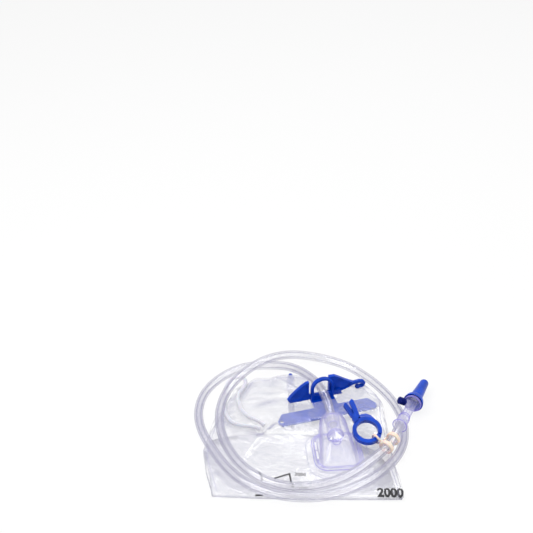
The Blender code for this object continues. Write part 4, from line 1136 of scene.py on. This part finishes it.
@dataclass
class FilmPrint(Piece):
    """Black print on the front film: a scale of plain numbers.

    Attributes:
        surface: The film that it lies on.
        over: How far over the film the ink lies.
        ink: The ink's thickness.
        stroke: Width of the lines.
        lines: The corner mark, the rule's end and the short bar, as points in millimetres.
        ticks: Left ends of the scale's ticks, in millimetres.
        longest: Longest edge of the ink, so that it follows the film.
    """

    surface: FilmSurface
    over: float = 0.06 * MM
    ink: float = 0.04 * MM
    stroke: float = 1.8 * MM
    lines: list[list[Pair]] = field(default_factory=lambda: [
        [(-27, -72.5), (-11.6, -66.4), (-10, -77.4)],
        [(-43.5, -63.5), (-41.2, -67), (-40.2, -74)],
        [(-46, -94.2), (-39, -94.2)],
    ])
    ticks: list[Pair] = field(default_factory=lambda: [
        (-9.6, -80.4), (-9.3, -83.6), (-9.0, -88.2), (-8.6, -92.8),
    ])
    longest: float = 1.6 * MM

    def sheet(self, name: str, shape: bmesh.types.BMesh) -> bpy.types.Object:
        """Lay a flat shape on the film as a thin closed layer of ink.

        Args:
            name: The piece's name.
            shape: The flat shape, which is used up.

        Returns:
            The layer.
        """
        bmesh.ops.triangulate(shape, faces=shape.faces)
        for _ in range(4):
            long_edges = [edge for edge in shape.edges if edge.calc_length() > self.longest]
            if long_edges:
                bmesh.ops.subdivide_edges(shape, edges=long_edges, cuts=1)
                bmesh.ops.triangulate(shape, faces=shape.faces)
        for vertex in shape.verts:
            vertex.co = self.surface.drop(vertex.co.x, vertex.co.y, self.over)
        bmesh.ops.recalc_face_normals(shape, faces=shape.faces)
        mesh = bpy.data.meshes.new(name)
        shape.to_mesh(mesh)
        shape.free()
        piece = bpy.data.objects.new(name, mesh)
        bpy.context.scene.collection.objects.link(piece)
        layer = piece.modifiers.new("ink_thickness", "SOLIDIFY")
        layer.thickness = self.ink
        layer.offset = 0
        return self.stand(applied(piece), INK_FINISH, Slot.PRINT)

    def number(self, name: str, text: str, place: Pair, height: float, turn: float, bold: float) -> None:
        """Print a number.

        Args:
            name: The piece's name.
            text: The digits.
            place: Lower left corner, in millimetres.
            height: Height of a digit, in millimetres.
            turn: Its turn in degrees.
            bold: How much each stroke is thickened, in millimetres.
        """
        curve = bpy.data.curves.new("number", "FONT")
        curve.body = text
        curve.size = height * MM * SIZE_PER_DIGIT
        curve.offset = bold * MM
        curve.resolution_u = 4
        writing = bpy.data.objects.new("number", curve)
        bpy.context.scene.collection.objects.link(writing)
        bpy.context.view_layer.update()
        mesh = bpy.data.meshes.new_from_object(writing.evaluated_get(bpy.context.evaluated_depsgraph_get()))
        bpy.data.objects.remove(writing, do_unlink=True)
        shape = bmesh.new()
        shape.from_mesh(mesh)
        bmesh.ops.remove_doubles(shape, verts=shape.verts, dist=0.01 * MM)
        lie = (Matrix.Translation((place[0] * MM, place[1] * MM, 0))
               @ Matrix.Rotation(math.radians(turn), 4, "Z"))
        bmesh.ops.transform(shape, matrix=lie, verts=shape.verts)
        self.sheet(name, shape)

    def line(self, name: str, points: Sequence[Pair], width: float) -> None:
        """Print a line through points in millimetres.

        Args:
            name: The piece's name.
            points: The points.
            width: The line's width.
        """
        shape = bmesh.new()
        for (ax, ay), (bx, by) in zip(points, points[1:]):
            run = Vector((bx - ax, by - ay)).normalized()
            side = Vector((-run.y, run.x)) * width / 2
            ends = [Vector((ax, ay)) * MM - run * width / 2, Vector((bx, by)) * MM + run * width / 2]
            corners = [ends[0] - side, ends[1] - side, ends[1] + side, ends[0] + side]
            shape.faces.new([shape.verts.new((c.x, c.y, 0)) for c in corners])
        self.sheet(name, shape)

    def build(self) -> None:
        """The scale's corner mark, ticks and numbers, and a large plain number at the bag's corner."""
        for number, points in enumerate(self.lines):
            self.line("printed_line_%d" % number, points, self.stroke)
        for number, (x, y) in enumerate(self.ticks):
            self.line("printed_tick_%d" % number, [(x, y), (x + 2.2, y + 0.1)], self.stroke * 0.6)
        self.number("scale_number_top", "2000", (-6.5, -68.8), 4.4, -4, 0.06)
        self.number("scale_number_low", "1500", (-3.2, -87.8), 4.0, 0, 0.05)
        self.number("corner_number", "2000", (78.0, -96.0), 9.6, -1, 0.55)


@dataclass
class Moulding(Piece):
    """A rigid moulding that keeps its node's form, with softened edges.

    Attributes:
        node: The frame's node.
        finish: Its finish.
        slot: Its material slot.
        body: The body it moves with.
        edge: How far its edges are softened.
    """

    node: str
    finish: SolidFinish | ClearFinish
    slot: Slot
    body: Body = Body.BAG
    edge: float = 0.35 * MM

    def build(self) -> bpy.types.Object:
        """The dressed moulding.

        Returns:
            The moulding.
        """
        piece = dressed_copy(self.node + "_dressed", self.frame["nodes"][self.node])
        round_edges(piece, self.edge)
        return self.stand(piece, self.finish, self.slot, self.body, [self.node])


@dataclass
class ChamberEdges(Piece):
    """Beads on the rounded edges of the chamber's flange and rim, tinted dark as painted shade, so that they
    show as lines.

    Attributes:
        flange: The flange's width, length and corner radius.
        steps: How far in and how high each edge lies.
        bead: The edges' own radius.
    """

    flange: Point = (53 * MM, 56 * MM, 14 * MM)
    steps: list[Pair] = field(default_factory=lambda: [
        (0.3 * MM, 1.2 * MM), (2.6 * MM, 2.5 * MM), (4.4 * MM, 2.5 * MM),
    ])
    bead: float = 0.28 * MM

    def build(self) -> None:
        """One bead for each edge."""
        width, length, corner = self.flange
        for number, (inset, height) in enumerate(self.steps):
            outline = rounded_rectangle(width - 2 * inset, length - 2 * inset, corner - inset, 10)
            line = [chamber_matrix() @ Vector((x, y, height)) for x, y in outline]
            bead = tube_piece("flange_edge_%d" % (number + 1), line, self.bead, BEAD_SIDES, False, True)
            self.stand(bead, EDGE_SHADE_FINISH, Slot.MOULDING)


@dataclass
class DripNozzle(Piece):
    """The barrel that the hose seats in, with its drip tip.

    Attributes:
        outside: The barrel's outer radius.
        inset: How far inside the hood's end the barrel starts.
        ring_step: How far its ring stands out.
        ring: Where the ring starts and ends.
        length: The barrel's length.
        drip_hole: Radius of the drip hole.
        bead: Radius of the beads along its edges.
        sides: Steps round its axis.
    """

    outside: float = 8.0 * MM
    inset: float = 1.2 * MM
    ring_step: float = 0.7 * MM
    ring: Pair = (26 * MM, 28 * MM)
    length: float = 37 * MM
    drip_hole: float = 3.0 * MM
    bead: float = 0.42 * MM
    sides: int = 64

    def build(self) -> None:
        """The turned barrel, and beads along its edges tinted dark as painted shade."""
        wall, bore = self.outside, HOSE_OD / 2 + FIT + 0.1 * MM
        stop, ring, hole = HOOD_END - self.inset - HOSE_START, wall + self.ring_step, self.drip_hole
        start, end = self.ring
        profile = [(bore, 0), (wall - 1.0 * MM, 0), (wall, 1.0 * MM), (wall, start), (ring, start), (ring, end),
                   (wall - 0.8 * MM, end), (wall - 1.2 * MM, self.length - 3 * MM),
                   (hole + 1.2 * MM, self.length), (hole, self.length), (hole, stop + 2.4 * MM), (bore, stop)]
        place = (chamber_matrix() @ Matrix.Translation((0, HOOD_END - self.inset - FIT, MOUTH_HEIGHT))
                 @ Matrix.Rotation(math.radians(90), 4, "X"))
        barrel = turned_piece("nozzle_barrel", rounded_profile(profile, 0.4 * MM), self.sides, place)
        self.stand(barrel, MOULD_FINISH, Slot.MOULDING, Body.BAG, ["drip_nozzle"])
        edges = [(wall, 0.6 * MM), (bore, stop), (ring, start), (ring, end),
                 (wall - 1.0 * MM, end + 0.8 * MM), (hole + 1.2 * MM, self.length)]
        # The edge beads are painted shade: dark lines along the barrel's edges.
        self.stand(edge_rings("nozzle_edges", edges, self.bead, place), EDGE_SHADE_FINISH, Slot.MOULDING)


@dataclass
class CatheterConnector(Piece):
    """The clear connector at the hose's end, with its sampling arm and blue septum.

    Attributes:
        socket: Outer radius and length of the socket.
        rim: How far the socket's rim stands out, and its length.
        body: Outer radius of the body.
        disc: Radius and thickness of the stop disc.
        disc_at: The disc's place from the mouth.
        spigot: Root radius, tip radius and length of the tapered spigot.
        bore: Radius of its bore.
        arm: Radius and length of the sampling arm.
        arm_start: How far from the body's axis the arm starts.
        arm_wall: The arm's wall.
        arm_at: The arm's place from the mouth.
        arm_way: Where the arm points.
        septum: Radius and length of the septum.
        grooves: How many grooves it has.
        bead: Radius of the beads along the edges.
        sides: Steps round the body's axis.
    """

    socket: Pair = (6.8 * MM, 15 * MM)
    rim: Pair = (1.1 * MM, 1.4 * MM)
    body: float = 5.5 * MM
    disc: Pair = (9.75 * MM, 1.8 * MM)
    disc_at: float = 46 * MM
    spigot: Point = (4.3 * MM, 3.1 * MM, 28 * MM)
    bore: float = 2.2 * MM
    arm: Pair = (3.7 * MM, 9.2 * MM)
    arm_start: float = 4.6 * MM
    arm_wall: float = 1.2 * MM
    arm_at: float = 44.5 * MM
    arm_way: Point = (0.74, 0.42, -0.52)
    septum: Pair = (4.2 * MM, 8.4 * MM)
    grooves: int = 3
    bead: float = 0.48 * MM
    sides: int = 64

    def arm_matrix(self) -> Matrix:
        """Place of the sampling arm, +Z outward."""
        turn = Vector(self.arm_way).normalized().to_track_quat("Z", "Y").to_matrix().to_4x4()
        return connector_matrix() @ Matrix.Translation((0, 0, self.arm_at)) @ turn

    def build(self) -> list[bpy.types.Object]:
        """The connector and its septum.

        Returns:
            Both pieces.
        """
        bore = HOSE_OD / 2 + FIT + 0.1 * MM
        (socket, length), (rim, rim_end), (disc, thick) = self.socket, self.rim, self.disc
        end = self.disc_at + thick + self.spigot[2]
        profile = [(bore, 0), (socket + rim, 0), (socket + rim, rim_end), (socket, rim_end + 0.4 * MM),
                   (socket, length - 3 * MM), (socket - 0.6 * MM, length), (self.body, length + 4 * MM),
                   (self.body - 0.4 * MM, self.disc_at), (disc, self.disc_at), (disc, self.disc_at + thick),
                   (self.spigot[0], self.disc_at + thick), (self.spigot[1], end), (self.bore, end),
                   (self.bore, SOCKET_DEPTH), (bore, SOCKET_DEPTH)]
        profile = rounded_profile(profile, 0.45 * MM)
        body = turned_piece("connector_body", profile, self.sides, connector_matrix())
        (radius, reach), inner = self.arm, self.arm[0] - self.arm_wall
        limb = [(inner, self.arm_start), (radius, self.arm_start), (radius, reach), (inner, reach)]
        arm = turned_piece("arm", rounded_profile(limb, 0.3 * MM), ROUND_STEPS, self.arm_matrix())
        whole = joined("connector_moulding", [body, arm])
        self.stand(whole, MOULD_FINISH, Slot.MOULDING, Body.BAG, ["connector"])
        edges = [(socket + rim, 0.7 * MM), (socket - 0.6 * MM, length), (self.body, length + 4 * MM),
                 (disc, self.disc_at), (disc, self.disc_at + thick)]
        # The edge beads are painted shade: dark lines along the connector's edges.
        beads = edge_rings("connector_edges", edges, self.bead, connector_matrix())
        self.stand(beads, EDGE_SHADE_FINISH, Slot.MOULDING)
        return [whole, beads, self.build_septum(reach + FIT)]

    def build_septum(self, start: float) -> bpy.types.Object:
        """The grooved blue septum on the arm's end.

        Args:
            start: Where it starts on the arm.

        Returns:
            The septum.
        """
        radius, length = self.septum
        profile = [(0, start), (radius - 0.5 * MM, start), (radius, start + 0.6 * MM)]
        for groove in range(self.grooves):
            low, floor = start + (1.8 + 1.9 * groove) * MM, radius - 0.9 * MM
            profile += [(radius, low), (floor, low + 0.2 * MM), (floor, low + 0.8 * MM),
                        (radius, low + 1.0 * MM)]
        profile += [(radius, start + length - 0.5 * MM), (radius - 1 * MM, start + length),
                    (0, start + length)]
        profile = rounded_profile(profile, 0.2 * MM, 2)
        piece = turned_piece("septum_plug", profile, ROUND_STEPS, self.arm_matrix())
        return self.stand(piece, SEPTUM_FINISH, Slot.SEPTUM, Body.BAG, ["sampling_septum"])


@dataclass
class ProtectiveCap(Piece):
    """The blue cap over the connector's spigot: a bell and a long cone.

    Attributes:
        bell: The bell's radius and depth.
        root: The cone's radius at the bell.
        tip: The cone's radius at its tip.
        length: The cap's whole length.
        wall: Its wall.
        start: Its mouth's place from the connector's mouth.
        hollow_end: Where its hollow ends, from there too.
        hollow_tip: The hollow's radius at that end.
        sides: Steps round its axis.
    """

    bell: Pair = (11.5 * MM, 11 * MM)
    root: float = 7.1 * MM
    tip: float = 5.2 * MM
    length: float = 47 * MM
    wall: float = 1.3 * MM
    start: float = 48.2 * MM
    hollow_end: float = 77.8 * MM
    hollow_tip: float = 3.9 * MM
    sides: int = 72

    def build(self) -> bpy.types.Object:
        """The turned cap.

        Returns:
            The cap.
        """
        (bell, depth), start, root, tip = self.bell, self.start, self.root, self.tip
        end = start + self.length
        profile = [(bell, start), (bell, start + 1.6 * MM), (bell - 1.0 * MM, start + depth * 0.55),
                   (root + 1.4 * MM, start + depth - 1.2 * MM), (root, start + depth),
                   (tip, end - 3.2 * MM), (tip * 0.86, end - 1.4 * MM), (tip * 0.5, end - 0.3 * MM), (0, end),
                   (0, self.hollow_end + 2 * MM), (self.hollow_tip * 0.8, self.hollow_end + 1 * MM),
                   (self.hollow_tip, self.hollow_end - 1 * MM), (root - self.wall, start + depth),
                   (root - self.wall + 1 * MM, start + depth - 2.4 * MM),
                   (bell - self.wall - 1.0 * MM, start + depth * 0.5), (bell - self.wall, start + 1.2 * MM)]
        profile = rounded_profile(profile, 0.5 * MM, 4)
        piece = turned_piece("cap_moulding", profile, self.sides, connector_matrix())
        return self.stand(piece, BLUE_FINISH, Slot.BLUE, Body.CAP, ["protective_cap"])


@dataclass
class RubberBand(Piece):
    """The peach rubber band: two flat rings on the hose and a loop round the clip's jaw.

    Attributes:
        hose_gap: Gap between the rings and the hose.
        thick: The rings' thickness.
        width: The rings' width along the hose.
        wire: Radius of the loop, the strap and the tie.
        jaw_gap: Gap between the loop and the jaw.
        places: Where the rings sit, as places along Y.
        strap_rise: How far the strap lies out from the rings' middle.
        route_spacing: Distance between the hose's points that the rings follow.
        sides: Steps round the rings' axis.
        wire_sides: Corners of the loop's section.
    """

    hose_gap: float = 0.7 * MM
    thick: float = 2.0 * MM
    width: float = 4.6 * MM
    wire: float = 1.2 * MM
    jaw_gap: float = 0.5 * MM
    places: Pair = (-25 * MM, -37 * MM)
    strap_rise: float = 0.4 * MM
    route_spacing: float = HOSE_OD * 1.65
    sides: int = 56
    wire_sides: int = 14

    def ring_at(self, name: str, centre: Vector, axis: Vector) -> bpy.types.Object:
        """A flat ring with round edges about an axis.

        Args:
            name: The ring's name.
            centre: Its middle.
            axis: Its axis.

        Returns:
            The ring.
        """
        inner = HOSE_OD / 2 + self.hose_gap
        outer, half = inner + self.thick, self.width / 2
        corners = [(inner, -half), (outer, -half), (outer, half), (inner, half)]
        profile = rounded_profile(corners, 0.75 * MM, 4)
        return turned_piece(name, profile, self.sides, axis_matrix(centre, axis))

    def build(self) -> bpy.types.Object:
        """The band as one piece.

        Returns:
            The band.
        """
        line = hose_points(self.route_spacing)
        one, two = (hose_point_at(line, y) for y in self.places)
        axis = (one - two).normalized()
        middle = one.lerp(two, 0.5)
        radius = HOSE_OD / 2 + self.hose_gap + self.thick / 2 + self.strap_rise
        jaw, along = clip_jaw()
        loop_radius = math.hypot(CLIP_JAW, CLIP_HEIGHT) / 2 + self.jaw_gap + self.wire
        turn = axis_matrix(jaw, along)
        loop = [turn @ Vector((x, y, 0)) for x, y in ring_section(loop_radius, ROUND_STEPS)]
        toward = jaw - middle
        toward = (toward - axis * toward.dot(axis)).normalized()
        back = middle - jaw
        back = (back - along * back.dot(along)).normalized()
        strap = [one + toward * radius, middle + toward * (radius + self.strap_rise), two + toward * radius]
        tie = [middle + toward * radius, jaw + back * loop_radius]
        parts = [self.ring_at("ring", one, axis), self.ring_at("ring", two, axis),
                 tube_piece("loop", loop, self.wire, self.wire_sides, False, True),
                 tube_piece("strap", strap, self.wire, self.wire_sides),
                 tube_piece("tie", tie, self.wire, self.wire_sides)]
        band = joined("band_rings", parts)
        return self.stand(band, PEACH_FINISH, Slot.BAND, Body.BAND, ["rubber_band"])


@dataclass
class Drain(Piece):
    """The drain that lies folded under the bag: tube, valve body and slider.

    Attributes:
        x: Its axis's place across the bag.
        bore: The tube's inner radius.
        tube_ends: Where the tube starts and ends along Y.
        valve_od: The valve body's outer diameter.
        valve: Where the valve body starts and ends along Y.
        rod: The slider's radius.
        rod_depth: How far the slider reaches into the body.
    """

    x: float = -7 * MM
    bore: float = 2.3 * MM
    tube_ends: Pair = (10.6 * MM, 69.7 * MM)
    valve_od: float = 9.5 * MM
    valve: Pair = (70 * MM, 90 * MM)
    rod: float = 2.7 * MM
    rod_depth: float = 7 * MM

    def place(self, height: float) -> Matrix:
        """An axis along +Y at a height."""
        return Matrix.Translation((self.x, 0, height)) @ Matrix.Rotation(math.radians(-90), 4, "X")

    def build(self) -> None:
        """The tube, and the slider's finger grip; the rest keeps its node's form."""
        tube_place = self.place(FLOOR_GAP + TUBE_OD / 2)
        (start, end), outside = self.tube_ends, TUBE_OD / 2
        profile = [(self.bore, start), (outside, start), (outside, end), (self.bore, end)]
        tube = turned_piece("drain_tube_wall", rounded_profile(profile, 0.2 * MM), ROUND_STEPS, tube_place)
        self.stand(tube, HOSE_FINISH, Slot.HOSE, Body.BAG, ["drain_tube"])
        grip, rod, deep = self.valve[1] + FIT, self.rod, self.valve[1] - self.rod_depth
        profile = [(0, deep), (rod, deep), (rod, grip), (rod + 1.6 * MM, grip),
                   (rod + 1.6 * MM, grip + 2 * MM), (rod, grip + 2.4 * MM), (rod - 0.3 * MM, grip + 8.4 * MM),
                   (rod - 1 * MM, grip + 9.2 * MM), (0, grip + 9.6 * MM)]
        slider = turned_piece("slider_grip", rounded_profile(profile, 0.35 * MM), ROUND_STEPS,
                              self.place(FLOOR_GAP + self.valve_od / 2))
        self.stand(slider, BLUE_FINISH, Slot.BLUE, Body.SLIDER, ["valve_slider"])


@dataclass
class Hose(Piece):
    """The inlet hose: a clear wall round an open bore.

    Attributes:
        spacing: Distance between the centre line's points.
        sides: Corners of the wall's and the bore's sections.
    """

    spacing: float = 5 * MM
    sides: tuple[int, int] = (28, 20)

    def build(self, ends: Sequence[bpy.types.Object]) -> None:
        """The hose's outer and inner walls.

        Args:
            ends: The pieces that the hose carries; not used.
        """
        path = hose_points(self.spacing)
        wall = tube_piece("hose_wall", path, HOSE_OD / 2, self.sides[0])
        bore = tube_piece("hose_bore", path, HOSE_BORE / 2, self.sides[1])
        self.stand(wall, HOSE_FINISH, Slot.HOSE, Body.BAG, ["hose"])
        self.stand(bore, BORE_FINISH, Slot.HOSE)


@dataclass
class HangingRope(Piece):
    """The twisted cord through the bag's corner.

    Attributes:
        strands: How many strands it has.
        pitch: Length of one turn of a strand.
        spacing: Distance between the centre line's points.
        offset: How far a strand's middle lies from the cord's.
        size: A strand's radius.
        sides: Corners of a strand's section.
    """

    strands: int = 3
    pitch: float = 9.5 * MM
    spacing: float = 0.9 * MM
    offset: float = ROPE_OD * 0.26
    size: float = ROPE_OD * 0.25
    sides: int = 8

    def build(self) -> None:
        """Three strands laid round the route."""
        path = spline_through([Vector(p) * MM for p in ROPE_ROUTE], self.spacing)
        vertices, faces = [], []
        for strand in range(self.strands):
            normal, line = None, []
            for i, point in enumerate(path):
                ahead, behind = path[min(i + 1, len(path) - 1)], path[max(i - 1, 0)]
                along = (ahead - behind).normalized()
                normal = along.orthogonal() if normal is None else normal
                normal = (normal - along * normal.dot(along)).normalized()
                turn = 2 * math.pi * (i * self.spacing / self.pitch + strand / self.strands)
                out = normal * math.cos(turn) + along.cross(normal) * math.sin(turn)
                line.append(point + out * self.offset)
            piece = tube_piece("strand", line, self.size, self.sides)
            start = len(vertices)
            vertices += [v.co.copy() for v in piece.data.vertices]
            faces += [[start + i for i in f.vertices] for f in piece.data.polygons]
            bpy.data.objects.remove(piece, do_unlink=True)
        rope = mesh_piece("rope_strands", vertices, faces)
        self.stand(rope, ROPE_FINISH, Slot.ROPE, Body.BAG, ["hanging_rope"])


@dataclass
class Stage:
    """Floor, lamps and camera.

    Attributes:
        eye: The camera's place.
        tilt: Its tilt from straight down, in degrees.
        lens: Its focal length, in millimetres.
        floor_half: Half the floor's size.
        floor_colour: The floor's grey value.
        floor_white: How much of the floor is plain white to the camera; the rest keeps the shadow.
        sky_light: Strength of the world's light on the object.
        lamps: Name, place, size and power of each lamp.
    """

    eye: Point = (-35.53 * MM, -767.48 * MM, 715.69 * MM)
    tilt: float = 57.27
    lens: float = 62.81
    floor_half: float = 3.0
    floor_colour: float = 0.93
    floor_white: float = 0.84
    sky_light: float = 0.48
    lamps: list[tuple[str, Point, float, float]] = field(default_factory=lambda: [
        ("key_lamp", (-0.6, -0.15, 1.25), 0.7, 7.5),
        ("fill_lamp", (0.9, -0.4, 0.9), 1.0, 3.4),
        ("back_lamp", (0.35, 0.85, 1.7), 0.7, 8.0),
        ("glint_lamp", (-0.25, 0.55, 1.2), 0.14, 1.2),
    ])

    def floor(self) -> None:
        """A plain white floor that keeps a faint shadow."""
        half = self.floor_half
        corners = [(-half, -half, 0), (half, -half, 0), (half, half, 0), (-half, half, 0)]
        floor = mesh_piece("floor", corners, [(0, 1, 2, 3)])
        material = bpy.data.materials.new("studio_floor")
        material.use_nodes = True
        tree = material.node_tree
        tree.nodes.clear()
        result = tree.nodes.new("ShaderNodeOutputMaterial")
        matt, painted_glow = tree.nodes.new("ShaderNodeBsdfDiffuse"), tree.nodes.new("ShaderNodeEmission")
        matt.inputs["Color"].default_value = (self.floor_colour,) * 3 + (1,)
        painted_glow.inputs["Color"].default_value = (1, 1, 1, 1)
        painted_glow.inputs["Strength"].default_value = 1.0
        mix = tree.nodes.new("ShaderNodeMixShader")
        tree.links.new(float_range(tree, seen_ray(tree), (0.0, self.floor_white)), mix.inputs["Fac"])
        tree.links.new(matt.outputs[0], mix.inputs[1])
        tree.links.new(painted_glow.outputs[0], mix.inputs[2])
        tree.links.new(mix.outputs[0], result.inputs["Surface"])
        floor.data.materials.append(material)

    def light(self) -> None:
        """A pale world, which the camera sees as white, and soft lamps."""
        world = bpy.data.worlds.new("studio")
        bpy.context.scene.world = world
        world.use_nodes = True
        tree = world.node_tree
        sky = tree.nodes["Background"]
        sky.inputs["Color"].default_value = (1, 1, 1, 1)
        strength = float_range(tree, seen_ray(tree), (self.sky_light, 1.0))
        tree.links.new(strength, sky.inputs["Strength"])
        for name, place, size, power in self.lamps:
            lamp = bpy.data.lights.new(name, "AREA")
            lamp.size = size
            lamp.energy = power
            holder = bpy.data.objects.new(name, lamp)
            holder.location = place
            holder.rotation_euler = (-Vector(place)).to_track_quat("-Z", "Y").to_euler()
            bpy.context.scene.collection.objects.link(holder)

    def camera(self) -> None:
        """The camera at the photograph's angle."""
        data = bpy.data.cameras.new("camera")
        data.lens = self.lens
        data.sensor_width = 36.0
        data.clip_end = 20.0
        camera = bpy.data.objects.new("camera", data)
        camera.location = self.eye
        camera.rotation_euler = (math.radians(self.tilt), 0, 0)
        bpy.context.scene.collection.objects.link(camera)
        bpy.context.scene.camera = camera

    def build(self) -> None:
        """Set the stage."""
        self.camera()
        self.floor()
        self.light()
        bpy.context.scene.view_settings.view_transform = "Standard"
        bpy.context.scene.cycles.transparent_max_bounces = 48


def main() -> None:
    """Build every sub-assembly round the frame, in order."""
    logging.basicConfig(level=logging.INFO, format="%(message)s")
    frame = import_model()
    Stage().build()
    surface = BagFilms(frame).build()
    FilmPrint(frame, surface).build()
    Moulding(frame, "hanger", BLUE_FINISH, Slot.BLUE, Body.BAG, 0.4 * MM).build()
    for node in ("chamber_shell", "chamber_back_plate", "drain_fitment", "valve_body"):
        Moulding(frame, node, MOULD_FINISH, Slot.MOULDING, Body.BAG, 0.2 * MM).build()
    Moulding(frame, "anti_reflux_flap", FILM_FINISH, Slot.FILM, Body.BAG, 0.1 * MM).build()
    for node in ("vent_membrane_1", "vent_membrane_2"):
        Moulding(frame, node, MEMBRANE_FINISH, Slot.MEMBRANE, Body.BAG, 0.1 * MM).build()
    ChamberEdges(frame).build()
    DripNozzle(frame).build()
    Drain(frame).build()
    ends = CatheterConnector(frame).build()
    ends.append(ProtectiveCap(frame).build())
    ends.append(Moulding(frame, "sheet_clip", BLUE_FINISH, Slot.BLUE, Body.CLIP, 0.45 * MM).build())
    ends.append(RubberBand(frame).build())
    Hose(frame).build(ends)
    HangingRope(frame).build()


if __name__ == "__main__":
    main()
